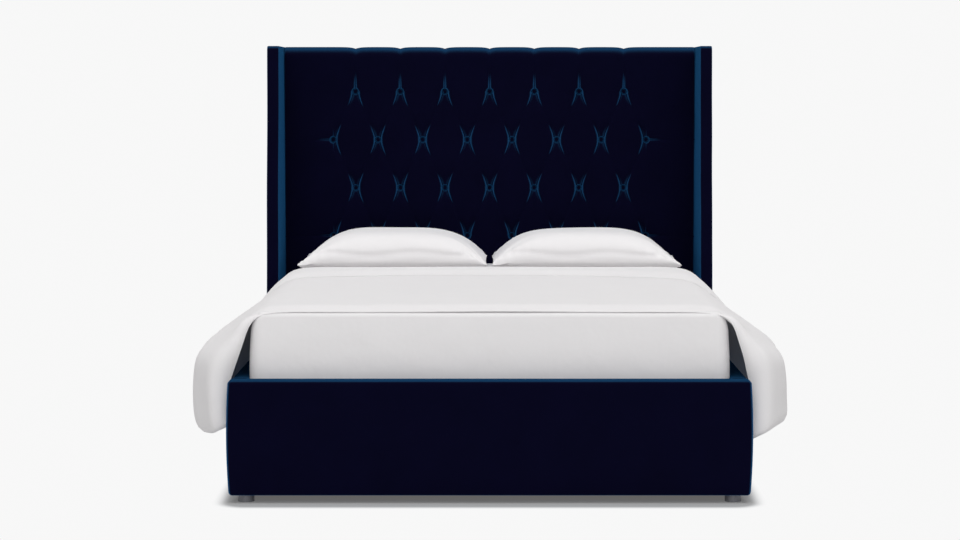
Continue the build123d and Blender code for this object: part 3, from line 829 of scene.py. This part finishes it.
@dataclass
class TuftedPad:
    """The headboard's pad: creases run between deep buttons, and fold over its top edge."""

    rows: int = 4
    columns: int = 7
    top_radius: float = 0.044
    foot_radius: float = 0.012
    end_radius: float = 0.006
    end_roll: float = 0.98
    seat_radius: float = 0.0114
    seat_depth: float = 0.024
    wall_reach: float = 0.0010
    hollow_depth: float = 0.0055
    hollow_reach: float = 0.012
    crease_outside: float = 0.0036
    crease_inside: float = 0.012
    crease_floor: float = 0.0012
    crease_depth: float = 0.0105
    crease_run: float = 0.088
    crease_bow: float = 0.0110
    bow_run: float = 0.150
    puff_share: float = 0.3
    puff_reach: float = 0.022
    end_share: float = 0.6
    overlap_share: float = 0.3
    scallop_depth: float = 0.007
    scallop_reach: float = 0.016
    scallop_fall: float = 0.09
    button_radius: float = 0.0112
    button_height: float = 0.0080
    button_margin: float = 0.012
    button_lift: float = 0.001
    button_points: int = 28
    dome: tuple[Span, ...] = (
        (1.0, 0.0), (1.0, 0.12), (0.9, 0.42), (0.78, 0.68), (0.64, 0.88), (0.5, 0.98), (0.25, 1.0),
    )
    fine_step: float = 0.0019
    coarse_step: float = 0.0038
    fine_reach: float = 0.030
    fine_rise: float = 0.055
    foot_turns: int = 5
    top_turns: int = 12
    top_lines: int = 16
    back_lines: int = 24
    under_lines: int = 6
    kept_share: float = 0.30
    fill: float = 0.85

    def __post_init__(self) -> None:
        """Read the pad's size and work out where the buttons are."""
        low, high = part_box("headboard_buttons")
        self.low, self.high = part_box("headboard_cover")
        self.pitch = (high.x - low.x - 2 * self.button_margin) / self.columns
        self.row_pitch = (high.z - low.z - 2 * self.button_margin) / (self.rows - 1)
        self.places: list[tuple[int, int, float, float]] = []
        for row in range(self.rows):
            reach, z = self.columns - 1 + row % 2, high.z - self.button_margin - row * self.row_pitch
            for column in range(-reach, reach + 1, 2):
                self.places.append((row, column, column * self.pitch / 2, z))

    def steps(self, low: float, high: float, centres: Iterable[float], reach: float) -> Net:
        """Grid lines between two places, closer together near each centre.

        Args:
            low: the first place.
            high: the last place.
            centres: the centres.
            reach: how far from a centre the lines are close.

        Returns:
            The lines' places.
        """
        lines, middles = [low], np.array(list(centres))
        while lines[-1] < high - self.fine_step:
            near = np.abs(middles - lines[-1]).min() < reach
            lines.append(lines[-1] + (self.fine_step if near else self.coarse_step))
        return np.array([*lines[:-1], high])

    def crease(self, row: int, column: int, dx: Net, dz: Net) -> tuple[Net, Net]:
        """The creases round one button.

        Args:
            row: the button's row from the top.
            column: its column in half pitches from the middle.
            dx: how far each place lies across from the button.
            dz: how far it lies above the button.

        Returns:
            How strongly each place is drawn in, and its distance from the nearest crease.
        """
        lean = self.pitch / 2 / self.row_pitch
        bow = self.crease_bow * np.exp(-np.abs(dz) / self.bow_run)
        aside = (np.abs(dx) - np.hypot(bow, lean * dz)) * math.cos(math.atan(lean))
        share = np.exp(-np.where(aside > 0, aside / self.crease_outside, -aside / self.crease_inside))
        upright = np.exp(-np.abs(dx) / self.crease_outside)
        level = self.end_share * np.exp(-np.abs(dz) / self.crease_outside)
        rules = (
            (row == 0, dz > 0, upright, dx),
            (row == self.rows - 1, dz < 0, upright, dx),
            (abs(column) == self.columns, dx * column > 0, level, dz),
        )
        for holds, where, straight, off in rules:
            if holds:
                share, aside = np.where(where, straight, share), np.where(where, off, aside)
        return share, np.abs(aside)

    def depth(self, x: Net, z: float) -> Net:
        """How far the face is drawn in along one level line.

        Args:
            x: places across the pad.
            z: the line's height.

        Returns:
            The depth at each place.
        """
        apart = np.array([np.hypot(x - place_x, z - place_z) for _, _, place_x, place_z in self.places])
        owner = apart.argmin(0)
        drawn = np.zeros_like(x)
        for index in np.unique(owner):
            row, column, place_x, place_z = self.places[index]
            own = owner == index
            dx = x[own] - place_x
            share, aside = self.crease(row, column, dx, np.full_like(dx, z - place_z))
            beyond = np.clip(apart[index][own] - self.seat_radius, 0.0, None)
            fade = self.crease_floor + self.crease_depth * (1 - smoothstep(beyond / self.crease_run))
            crease = fade * (share + self.puff_share * np.exp(-aside / self.puff_reach))
            wall = (self.seat_depth - self.hollow_depth) * np.exp(-beyond / self.wall_reach)
            well = wall + self.hollow_depth * np.exp(-beyond / self.hollow_reach)
            both = np.maximum(well, crease) + self.overlap_share * np.minimum(well, crease)
            drawn[own] = np.minimum(both, self.seat_depth)
        return drawn

    def profile(self) -> list[tuple[float, float, float, float]]:
        """The pad's section, from its foot up the face, over the top and round the back.

        Returns:
            For each place its y and z, and the y and z of the way that it is drawn in.
        """
        front, back, top, bottom = self.low.y, self.high.y, self.high.z, self.low.z
        foot, roll = self.foot_radius, self.top_radius
        rows: list[tuple[float, float, float, float]] = []
        for angle in np.linspace(math.pi / 2, 0, self.foot_turns, endpoint=False):
            inset, rise = foot * (1 - math.cos(angle)), foot * (1 - math.sin(angle))
            rows.append((front + inset, bottom + rise, 1.0, 0.0))
        levels = {place[3] for place in self.places}
        rows += [(front, z, 1.0, 0.0) for z in self.steps(bottom + foot, top - roll, levels, self.fine_rise)]
        for angle in np.linspace(0, math.pi / 2, self.top_turns)[1:]:
            sine, cosine = math.sin(angle), math.cos(angle)
            rows.append((front + roll * (1 - cosine), top - roll * (1 - sine), cosine, -sine))
        rows += [(y, top, 0.0, -1.0) for y in np.linspace(front + roll, back, self.top_lines)[1:]]
        rows += [(back, z, 0.0, 0.0) for z in np.linspace(top, bottom, self.back_lines)[1:]]
        under = np.linspace(back, front + foot, self.under_lines)[1:-1]
        return rows + [(y, bottom, 0.0, 0.0) for y in under]

    def pad(self) -> None:
        """The tufted cover."""
        half = self.high.x
        x = self.steps(-half, half, {place[2] for place in self.places}, self.fine_reach)
        edge = np.clip((np.abs(x) - half + self.end_radius) / self.end_radius, 0.0, 1.0)
        roll = self.end_radius * (1 - np.sqrt(1 - self.end_roll * edge ** 2))
        tops = [place for row, _, place, _ in self.places if row == 0]
        scallop = sum(np.exp(-np.abs(x - place) / self.scallop_reach) for place in tops) * self.scallop_depth
        net = []
        for y, z, in_y, in_z in self.profile():
            face = self.depth(x, z) if z < self.high.z - WELD else 0.0
            near_top = smoothstep(1 + (z - self.high.z) / self.scallop_fall)
            drawn = roll + np.maximum(face, scallop * near_top)
            net.append(np.stack([x, y + drawn * in_y, z + drawn * in_z], 1))
        grid = np.array(net).transpose(1, 0, 2)
        form = Form().net(grid, closed=True).lid(grid[0]).lid(grid[-1])
        piece = form.piece("headboard_velvet", "navy_velvet", "headboard_cover", self.fill)
        shape_with(piece, "DECIMATE", ratio=self.kept_share)

    def buttons(self) -> None:
        """Thirty covered buttons, each a low dome with a rolled rim."""
        form = Form()
        turn = np.linspace(0, 2 * math.pi, self.button_points, endpoint=False)
        seat = self.low.y + self.seat_depth + self.button_lift
        for _, _, x, z in self.places:
            rings = []
            for wide, high in self.dome:
                radius, y = self.button_radius * wide, np.full_like(turn, seat - self.button_height * high)
                rings.append(np.stack([x + radius * np.cos(turn), y, z + radius * np.sin(turn)], 1))
            form.net(np.array(rings), closed=True).lid(rings[0]).lid(rings[-1])
        form.piece("headboard_covered_buttons", "navy_velvet", "headboard_buttons")

    def build(self) -> None:
        """Build the pad and its buttons."""
        self.pad()
        self.buttons()


# Bedding


@dataclass
class MattressSet:
    """The mattress and the fitted sheet drawn over it."""

    corner_radius: float = 0.042
    edge_radius: float = 0.038
    edge_drop: float = 0.075
    foot_edge: Span = (0.012, 0.016)
    under_radius: float = 0.012
    bulge: float = 0.0045
    skin: float = 0.0005
    sheet_gap: float = 0.0015
    sheet_waves: Span = (0.5, 0.0012)
    sheet_band: float = 0.01
    rings_flat: int = 10
    rings_edge: int = 9
    rings_side: int = 11
    rings_under: int = 5
    step: float = 0.03
    fill: float = 0.95

    def __post_init__(self) -> None:
        """Read the mattress's place."""
        self.low, self.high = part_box("mattress")

    def rings(self, grow: float) -> list[Ring]:
        """Loops down from the middle of the top, over the edge and down the sides.

        Args:
            grow: how far outside the mattress they lie.

        Returns:
            Each loop and its heights.
        """
        half, start, end = self.high.x + grow, self.low.y - grow, self.high.y + grow
        corners = [(-half, start), (half, start), (half, end), (-half, end)]
        loop = rounded(corners, [self.corner_radius + grow] * 4, self.step)
        normal, middle = outward(loop), loop.mean(0)
        side, top = np.abs(normal[:, :1]), self.high.z + grow
        radius = self.foot_edge[0] + (self.edge_radius - self.foot_edge[0]) * side + grow
        fall = (self.foot_edge[1] + (self.edge_drop - self.foot_edge[1]) * side + grow)[:, 0]
        flat = loop - normal * radius
        shares = np.linspace(0.0, 1.0, self.rings_flat, endpoint=False)
        rows: list[Ring] = [(middle + (flat - middle) * share, top) for share in shares]
        for angle in np.linspace(0, math.pi / 2, self.rings_edge):
            rows.append((loop - normal * radius * (1 - math.sin(angle)), top - fall * (1 - math.cos(angle))))
        drop = top - fall - self.low.z - self.under_radius
        for share in np.linspace(0, 1, self.rings_side)[1:]:
            rows.append((loop + normal * self.bulge * math.sin(math.pi * share), top - fall - share * drop))
        return rows

    def mattress(self) -> None:
        """The mattress, closed underneath."""
        rows = self.rings(-self.skin)
        loop, bottom, radius = rows[-1][0], self.low.z, self.under_radius
        normal, middle = outward(loop), loop.mean(0)
        for angle in np.linspace(0, math.pi / 2, self.rings_under)[1:]:
            inset = radius * (1 - math.cos(angle))
            rows.append((loop - normal * inset, bottom + radius * (1 - math.sin(angle))))
        flat = rows[-1][0]
        shares = np.linspace(1.0, 0.0, self.rings_flat)[1:]
        rows += [(middle + (flat - middle) * share, bottom) for share in shares]
        form = Form().net(lofted(rows), closed=True)
        form.piece("mattress_body", "mattress_ticking", "mattress", self.fill)

    def sheet(self) -> None:
        """The fitted sheet, open underneath."""
        net = lofted(self.rings(self.sheet_gap))
        uneven = ripple(net, 31, *self.sheet_waves)
        uneven[0] = uneven[0].mean()
        net[..., 2] += uneven * (net[..., 2] > self.high.z - self.sheet_band)
        piece = Form().net(net, closed=True).piece("fitted_sheet_cotton", "white_cotton", "fitted_sheet")

    def build(self) -> None:
        """Build the mattress and its sheet."""
        self.mattress()
        self.sheet()


def spline(controls: Net, count: int) -> Net:
    """A smooth line that follows a chain of control points, evenly divided.

    Args:
        controls: one row for each control point.
        count: how many points the line has.

    Returns:
        The line's points.
    """
    chain = np.vstack([2 * controls[0] - controls[1], controls, 2 * controls[-1] - controls[-2]])
    places = np.linspace(0, len(controls) - 1, SPLINE_PARTS * len(controls))
    start = np.minimum(places.astype(int), len(controls) - 2)
    t = (places - start)[:, None]
    a, b, c, d = (chain[start + k] for k in range(4))
    line = ((1 - t) ** 3 * a + (3 * t ** 3 - 6 * t ** 2 + 4) * b
            + (-3 * t ** 3 + 3 * t ** 2 + 3 * t + 1) * c + t ** 3 * d) / 6
    gone = np.concatenate([[0], np.cumsum(np.linalg.norm(np.diff(line, axis=0), axis=1))])
    even = np.linspace(0, gone[-1], count)
    return np.stack([np.interp(even, gone, line[:, k]) for k in range(line.shape[1])], 1)


def upward(net: Net) -> Net:
    """Unit normals of a net, turned so that most of them point up.

    Args:
        net: rows of points.

    Returns:
        A normal for each point.
    """
    normal = np.cross(np.gradient(net, axis=1), np.gradient(net, axis=0))
    normal /= np.maximum(np.linalg.norm(normal, axis=2), TINY)[..., None]
    return normal * np.sign(normal[..., 2].sum())


def from_ends(count: int) -> Net:
    """How many steps each place in a row is from the row's nearer end."""
    return np.minimum(np.arange(count), np.arange(count)[::-1])


@dataclass
class Duvet:
    """The duvet: flat over the mattress, flaring out at both sides, and turned down at its head end."""

    thick: float = 0.017
    thin_share: float = 0.06
    full_share: float = 0.9
    thin_reach: float = 0.10
    full_edge: Span = (0.70, 0.80)
    rim_swell: float = 0.6
    rim_place: float = 0.772
    rim_reach: float = 0.032
    foot: float = -1.033
    lean: float = 0.7
    blunt: Span = (0.4, 0.9)
    flat_part: tuple[Span, ...] = ((0.0, 0.0), (0.3, 0.0), (0.55, 0.0))
    foot_bends: tuple[Span, ...] = (
        (0.700, 0.0), (0.738, 0.016), (0.766, 0.055), (0.782, 0.105), (0.802, 0.155), (0.822, 0.205),
        (0.834, 0.240), (0.836, 0.290), (0.836, 0.338), (0.835, 0.374),
    )
    full_bends: tuple[Span, ...] = (
        (0.700, 0.0), (0.745, 0.018), (0.820, 0.066), (0.905, 0.124), (0.966, 0.168), (0.970, 0.215),
        (0.970, 0.27), (0.967, 0.33), (0.962, 0.388), (0.942, 0.420),
    )
    head_bends: tuple[Span, ...] = (
        (0.700, 0.0), (0.745, 0.014), (0.776, 0.048), (0.791, 0.095), (0.802, 0.15), (0.816, 0.20),
        (0.827, 0.26), (0.838, 0.33), (0.846, 0.39), (0.848, 0.42),
    )
    right_drop: float = 0.050
    right_bulge: float = 0.010
    right_lift: float = 0.055
    right_flare: float = 0.026
    fall_shares: tuple[float, ...] = (0.4, 0.8, 1.0)
    flare_shares: Span = (0.3, 1.0)
    across: int = 151
    step: float = 0.012
    fold_reach: float = 0.35
    fold_pitch: Span = (0.46, 0.27)
    fold_start: Span = (0.6, 1.9)
    fold_share: float = 0.5
    fold_depth: float = 0.011
    hem_pitch: float = 0.6
    hem_start: float = 1.0
    hem_depth: float = 0.006
    waves: Span = (0.5, 0.003)
    gap: float = 0.002
    rim_steps: float = 2.0
    rim_least: float = 0.02
    roll_share: float = 0.52
    roll_turns: int = 8
    turndown: float = 0.20
    left_pull: float = 0.08
    right_pull: float = 0.14
    pull_start: float = 0.30
    pull_run: float = 0.45
    fill: float = 0.45

    def __post_init__(self) -> None:
        """Find the mattress's top, and the head end just in front of the pillows."""
        self.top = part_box("mattress")[1].z
        self.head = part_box("duvet")[1].y - self.thick / 2

    def fullness(self, inward: Net, x: Amount) -> Net:
        """The share of its thickness that the duvet has, which is thin at its ends over the mattress.

        Args:
            inward: how far each place is from an end.
            x: how far across the bed it is.

        Returns:
            The share at each place.
        """
        start, end = self.full_edge
        rise = smoothstep((np.abs(x) - start) / (end - start))
        edge = self.thin_share + (self.full_share - self.thin_share) * rise
        edge = edge + self.rim_swell * np.exp(-((np.abs(x) - self.rim_place) / self.rim_reach) ** 2)
        return edge + (1 - edge) * smoothstep(inward / self.thin_reach)

    def half_section(self, share: float, side: Side) -> Net:
        """One side's line from the middle of the bed to its hem.

        Args:
            share: how far from foot to head it lies.
            side: its side of the bed.

        Returns:
            Places across the bed and their heights from the mattress's top.
        """
        power = self.blunt[0] + (self.blunt[1] - self.blunt[0]) * share
        full = abs(math.sin(math.pi * share ** self.lean)) ** power
        end = np.array(self.foot_bends if share < 0.5 else self.head_bends)
        bends = end + (np.array(self.full_bends) - end) * full
        if side is Side.RIGHT:
            fall = self.right_drop * (1 - full) - self.right_lift * full
            bends[-3:, 1] += np.array(self.fall_shares) * fall
            bends[-2:, 0] += np.array(self.flare_shares) * self.right_flare * full
            bends[1:5, 0] += self.right_bulge * (1 - full)
        return spline(np.vstack([self.flat_part, bends]), self.across // 2 + 1) * (side.value, -1)

    def laid(self) -> Net:
        """The duvet's middle layer, with soft folds that grow down its hanging sides.

        Returns:
            Rows of points from foot to head.
        """
        length, loops = self.head - self.foot, []
        for share in np.linspace(0.0, 1.0, round(length / self.step)):
            left, right = self.half_section(share, Side.LEFT), self.half_section(share, Side.RIGHT)
            loops.append(np.insert(np.vstack([left[:0:-1], right]), 1, self.foot + share * length, axis=1))
        net = np.array(loops) + (0.0, 0.0, self.top + self.gap + self.thick / 2)
        hang, side = smoothstep((self.top - net[..., 2]) / self.fold_reach), np.sign(net[..., 0])
        turn = 2 * math.pi * net[..., 1]
        wave = np.sin(turn / self.fold_pitch[0] + self.fold_start[0] * side)
        wave = wave + self.fold_share * np.sin(turn / self.fold_pitch[1] + self.fold_start[1])
        net[..., 0] += side * hang * self.fold_depth * wave
        net[..., 2] += hang * self.hem_depth * np.sin(turn / self.hem_pitch + self.hem_start)
        net[..., 2] += ripple(net, 44, *self.waves)
        return net

    def turned_down(self, base: Net, normal: Net) -> Net:
        """The turn-down: a roll at the head end, then back over the duvet to a slanting free edge.

        Args:
            base: the middle layer.
            normal: its normals.

        Returns:
            More rows of points.
        """
        roll, last, column = self.roll_share * self.thick, len(base) - 1, np.arange(base.shape[1])
        rows = []
        for angle in np.linspace(0, math.pi, self.roll_turns)[1:-1]:
            ahead = (0.0, roll * math.sin(angle), 0.0)
            rows.append(base[-1] + normal[-1] * roll * (1 - math.cos(angle)) + ahead)
        x = base[-1, :, 0]
        pull = np.where(x < 0, self.left_pull, self.right_pull)
        reach = self.turndown + pull * smoothstep((np.abs(x) - self.pull_start) / self.pull_run)
        for share in np.linspace(0, 1, round(self.turndown / self.step)):
            row = np.clip(last - reach * share / (self.head - self.foot) * last, 0, last)
            low = np.floor(row).astype(int)
            high, part = np.minimum(low + 1, last), (row - low)[:, None]
            point = base[low, column] * (1 - part) + base[high, column] * part
            way = normal[low, column] * (1 - part) + normal[high, column] * part
            lift = self.thick / 2 * (1.0 + self.fullness((1 - share) * reach, 0.0))
            rows.append(point + way * lift[:, None])
        return np.array(rows)

    def build(self) -> None:
        """Lay the duvet, turn it down and thicken it, with soft rounded rims all round."""
        base = self.laid()
        normal = upward(base)
        inward = (np.arange(len(base)) * self.step)[:, None]
        sink = self.thick / 2 * (1 - self.fullness(inward, base[..., 0]))
        sheet = np.vstack([base - normal * sink[..., None], self.turned_down(base, normal)])
        normal = upward(sheet)
        rows, columns = sheet.shape[:2]
        rim = np.minimum.outer(from_ends(rows), from_ends(columns)) / self.rim_steps
        rim = np.sqrt(np.clip(1 - (1 - np.clip(rim, 0, 1)) ** 2, self.rim_least, 1))
        x = sheet[..., 0] * (np.arange(rows) < rows / 2)[:, None]
        half = (self.thick / 2 * rim * self.fullness(from_ends(rows)[:, None] * self.step, x))[..., None]
        over, under = sheet + normal * half, sheet - normal * half
        form = Form().net(over).net(under[:, ::-1])
        for edge in EDGES:
            form.net(np.array([over[edge], under[edge]]))
        form.piece("duvet_cotton", "white_cotton", "duvet", self.fill)


@dataclass
class Pillows:
    """Two plump pillows with a seam all round, and creases that run in from their drawn-out corners."""

    across: int = 111
    along: int = 71
    seam_height: float = 0.050
    end_height: float = 0.036
    seam_way: Span = (4.0, 1.0)
    outer_end: Span = (4.4, 1.50)
    inner_end: Span = (4.2, 1.05)
    depth_way: Span = (5.5, 0.42)
    under_way: tuple[Span, Span] = ((4.0, 0.5), (6.0, 0.5))
    top_gap: float = 0.008
    fold_height: float = 0.078
    fold_wander: Span = (0.006, 7.0)
    fold_depth: float = 0.005
    fold_width: float = 0.011
    fold_end: float = 0.97
    side_draw: float = 0.012
    front_draw: float = 0.045
    crease_depth: float = 0.0060
    crease_start: float = 0.03
    crease_reach: float = 0.130
    crease_under: float = 0.5
    crease_count: float = 11.0
    pucker_depth: float = 0.0032
    pucker_wave: float = 0.034
    pucker_place: Span = (0.08, 0.11)
    pucker_edge: Span = (0.006, 0.022)
    fan_shift: tuple[float, ...] = (1.3, 0.7, 14.0)
    pucker_wander: Span = (2.0, 17.0)
    waves: Span = (0.28, 0.004)
    fill: float = 0.7

    @staticmethod
    def swell(place: Net, power: Span) -> Net:
        """How full the pillow is, from 1 in the middle to 0 at a seam."""
        return np.clip(1 - np.abs(place) ** power[0], 0, 1) ** power[1]

    def layers(self, low: Vector, high: Vector, side: Side) -> list[Net]:
        """The upper and the lower half, as nets that meet at the seam.

        Args:
            low: the pillow's lowest corner.
            high: its highest corner.
            side: the pillow's side of the bed.

        Returns:
            The upper net and the lower net.
        """
        places = [np.sin(np.linspace(-1, 1, count) * math.pi / 2) for count in (self.across, self.along)]
        u, v = np.meshgrid(*places, indexing="ij")
        size, middle = high - low, (low + high) / 2
        ends = np.where(u * side.value > 0, self.swell(u, self.outer_end), self.swell(u, self.inner_end))
        crest = self.end_height + (size.z - self.top_gap - self.end_height) * ends
        seam = self.end_height + (self.seam_height - self.end_height) * self.swell(u, self.seam_way)
        x = middle.x + size.x / 2 * u * (1 - self.side_draw * (1 - v ** 2))
        y = middle.y + size.y / 2 * v * (1 - self.front_draw * (1 - u ** 2))
        body, creases = self.swell(v, self.depth_way), self.creases(u, v, size)
        hollow = self.swell(v, self.under_way[0]) * self.swell(u, self.under_way[1])
        fold = self.fold_height + self.fold_wander[0] * np.sin(u * self.fold_wander[1])
        front = self.fold_depth * (v < 0) * (np.abs(u) < self.fold_end)
        nets = []
        for z in (seam + (crest - seam) * body + creases, seam * (1 - hollow) + creases * self.crease_under):
            tucked = y + front * np.exp(-((z - fold) / self.fold_width) ** 2)
            net = np.stack([x, tucked, low.z + z], 2)
            uneven = ripple(net, 60 + side.value, *self.waves) * body * ends
            net[..., 2] = np.clip(net[..., 2] + uneven, low.z, high.z)
            nets.append(net)
        return nets

    def creases(self, u: Net, v: Net, size: Vector) -> Net:
        """The creases that fan in from the corners, and the gathers along the seam near them.

        Args:
            u: places across the pillow, from -1 to 1.
            v: places along it, from -1 to 1.
            size: the pillow's size.

        Returns:
            Their height at each place.
        """
        in_x, in_y = (1 - np.abs(u)) * size.x / 2, (1 - np.abs(v)) * size.y / 2
        reach, turn = np.hypot(in_x, in_y), np.arctan2(in_y, in_x)
        at_end, at_front, along_it = self.fan_shift
        bend = self.crease_count * turn + at_end * np.sign(u) + at_front * np.sign(v)
        fan = np.sin(bend + along_it * reach)
        near = np.exp(-(reach / self.crease_reach) ** 2) * smoothstep(reach / self.crease_start)
        edge = np.minimum(in_x, in_y)
        along = np.where(in_x < in_y, v * size.y / 2, u * size.x / 2)
        wander = self.pucker_wander[0] * np.sin(self.pucker_wander[1] * along)
        gather = np.sin(along * 2 * math.pi / self.pucker_wave + wander)
        (place, spread), (start, fade) = self.pucker_place, self.pucker_edge
        hold = np.exp(-edge / fade) * smoothstep(edge / start) * np.exp(-((reach - place) / spread) ** 2)
        return self.crease_depth * fan * near + self.pucker_depth * gather * hold

    def build(self) -> None:
        """Build and seat both."""
        for side in Side:
            node = f"pillow_{side.name.lower()}"
            over, under = self.layers(*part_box(node), side)
            for edge in EDGES:
                under[edge] = over[edge]
            Form().net(over).net(under[:, ::-1]).piece(f"{node}_cotton", "white_cotton", node, self.fill)


# Pieces whose CAD shape stays


@dataclass(frozen=True)
class Carried:
    """The nodes that are carried over from the frame, under the name of the finish that each gets."""

    pine_y: Names = ("side_rail_left_core", "side_rail_right_core", "slat_cleats", "centre_rail")
    pine_x: Names = ("footboard_core", "headboard_cross_boards", "slats")
    pine_z: Names = ("headboard_posts", "centre_legs")
    plywood: Names = ("headboard_panel", "wing_left_core", "wing_right_core")
    upholstery_foam: Names = (
        "headboard_foam", "footboard_foam", "side_rail_left_foam", "side_rail_right_foam",
        "wing_left_foam", "wing_right_foam",
    )
    plated_steel: Names = (
        "rail_hook_plates", "rail_slot_plates", "centre_rail_hangers", "centre_leg_plates",
        "centre_leg_nuts", "wing_bolts",
    )
    tufting_tape: Names = ("headboard_button_ties",)
    slat_webbing: Names = ("slat_straps",)
    back_lining_cloth: Names = ("headboard_back_lining",)
    foot_grey_metal: Names = ("corner_feet",)
    glide_nylon: Names = ("glide_foot", "glide_middle", "glide_head")

    def build(self) -> None:
        """Dress the nodes."""
        for finish, nodes in vars(self).items():
            for node in nodes:
                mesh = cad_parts[node].data
                mesh.materials.clear()
                mesh.materials.append(Finishes.made[finish])
                log.info("%s: %s", node, finish)


# Camera, floor and light


@dataclass
class Studio:
    """The photograph's camera, a pale floor and soft even light."""

    image_width: float = 960.0
    focal_pixels: float = 2308.0
    centre_offset_pixels: float = 9.6
    sensor: float = 36.0
    distance: float = 8.324
    height: float = 1.3137
    pitch_degrees: float = 4.544
    clip_end: float = 100.0
    floor_size: float = 120.0
    backdrop: float = 0.935
    # Painted bounce light: the floor's glow for every ray but the camera's.
    bounce: float = 0.72
    floor_colour: float = 0.97
    sky: float = 0.295
    footprint: Span = (0.765, 1.10)
    shadow_start: float = 0.060
    shadow_reach: float = 0.060
    under_share: float = 0.12
    # The floor's colour right next to the bed: a painted shadow.
    contact_tone: float = 0.36
    lamps: tuple[tuple[str, float, float, Colour], ...] = (
        ("front_light", 1.0, 50.0, (0.03, 1.0, -0.58)),
        ("top_light", 1.68, 55.0, (-0.06, 0.20, -1.0)),
    )

    def camera(self) -> None:
        """Stand the camera in front of the foot of the bed."""
        data = bpy.data.cameras.new("camera")
        data.sensor_width = self.sensor
        data.lens = self.focal_pixels / self.image_width * self.sensor
        data.shift_x = -self.centre_offset_pixels / self.image_width
        data.clip_end = self.clip_end
        made = linked("camera", data)
        made.location = (0.0, -self.distance, self.height)
        made.rotation_euler = (math.radians(90 - self.pitch_degrees), 0.0, 0.0)
        bpy.context.scene.camera = made

    def floor(self) -> None:
        """Lay the floor: a contact shadow near the bed, real and deepened by painted shadow in the floor's
        colour, and away from it a glow: the backdrop's own tone to the camera, and painted bounce light to
        everything else.
        """
        shader = Shader("floor")
        place = shader.place()
        out_x = place.part(Run.X).beyond(self.footprint[0])
        out_y = place.part(Run.Y).beyond(self.footprint[1])
        distance = (out_x * out_x + out_y * out_y) ** 0.5
        clear = ((distance - self.shadow_start) / self.shadow_reach).eased()
        # Away from the bed, and a little under it, the floor glows instead of only taking light.
        share = self.under_share + (1.0 - self.under_share) * clear
        # Painted shadow: the floor's colour darkens from its own towards the bed.
        near = shader.mix(clear, (self.contact_tone,) * 3, (self.floor_colour,) * 3)
        lit = shader.surface(near, 1.0, Specular_IOR_Level=0.0)
        # The glow: the backdrop's tone to the camera, and painted bounce light to everything else.
        shown = shader.mix(shader.rays("Camera"), (self.bounce,) * 3, (self.backdrop,) * 3)
        tone = shader.node("ShaderNodeEmission", {}, {"Color": shown})
        bpy.ops.mesh.primitive_plane_add(size=self.floor_size)
        plane = bpy.context.active_object
        plane.name = "floor"
        plane.data.materials.append(shader.done(shader.blend(share, lit, tone)))

    def world(self) -> None:
        """Even light from all round, with the backdrop's own tone where it is seen."""
        world = bpy.data.worlds.new("studio")
        bpy.context.scene.world = world
        shader = Shader("studio", world)
        seen = shader.rays("Camera", "Glossy", "Transmission")
        light, tone = (
            shader.node("ShaderNodeBackground", {}, {"Color": toned((grey,) * 3), "Strength": strength})
            for grey, strength in ((1.0, self.sky), (self.backdrop, 1.0))
        )
        shader.done(shader.blend(seen, light, tone), "ShaderNodeOutputWorld")

    def light(self) -> None:
        """Hang the broad, distant lamps, each with its strength, softness and direction."""
        for name, strength, softness, toward in self.lamps:
            data = bpy.data.lights.new(name, "SUN")
            data.energy = strength
            data.angle = math.radians(softness)
            linked(name, data).rotation_euler = Vector(toward).to_track_quat("-Z", "Y").to_euler()

    def build(self) -> None:
        """Set up the camera, the floor and the light."""
        self.camera()
        self.floor()
        self.world()
        self.light()
        bpy.context.scene.view_settings.view_transform = "Standard"


def main() -> None:
    """Build the studio and dress the bed, piece by piece."""
    for part in (Studio, Finishes, Carried, TuftedPad, Wings, Base, MattressSet, Duvet, Pillows):
        part().build()


if __name__ == "__main__":
    main()
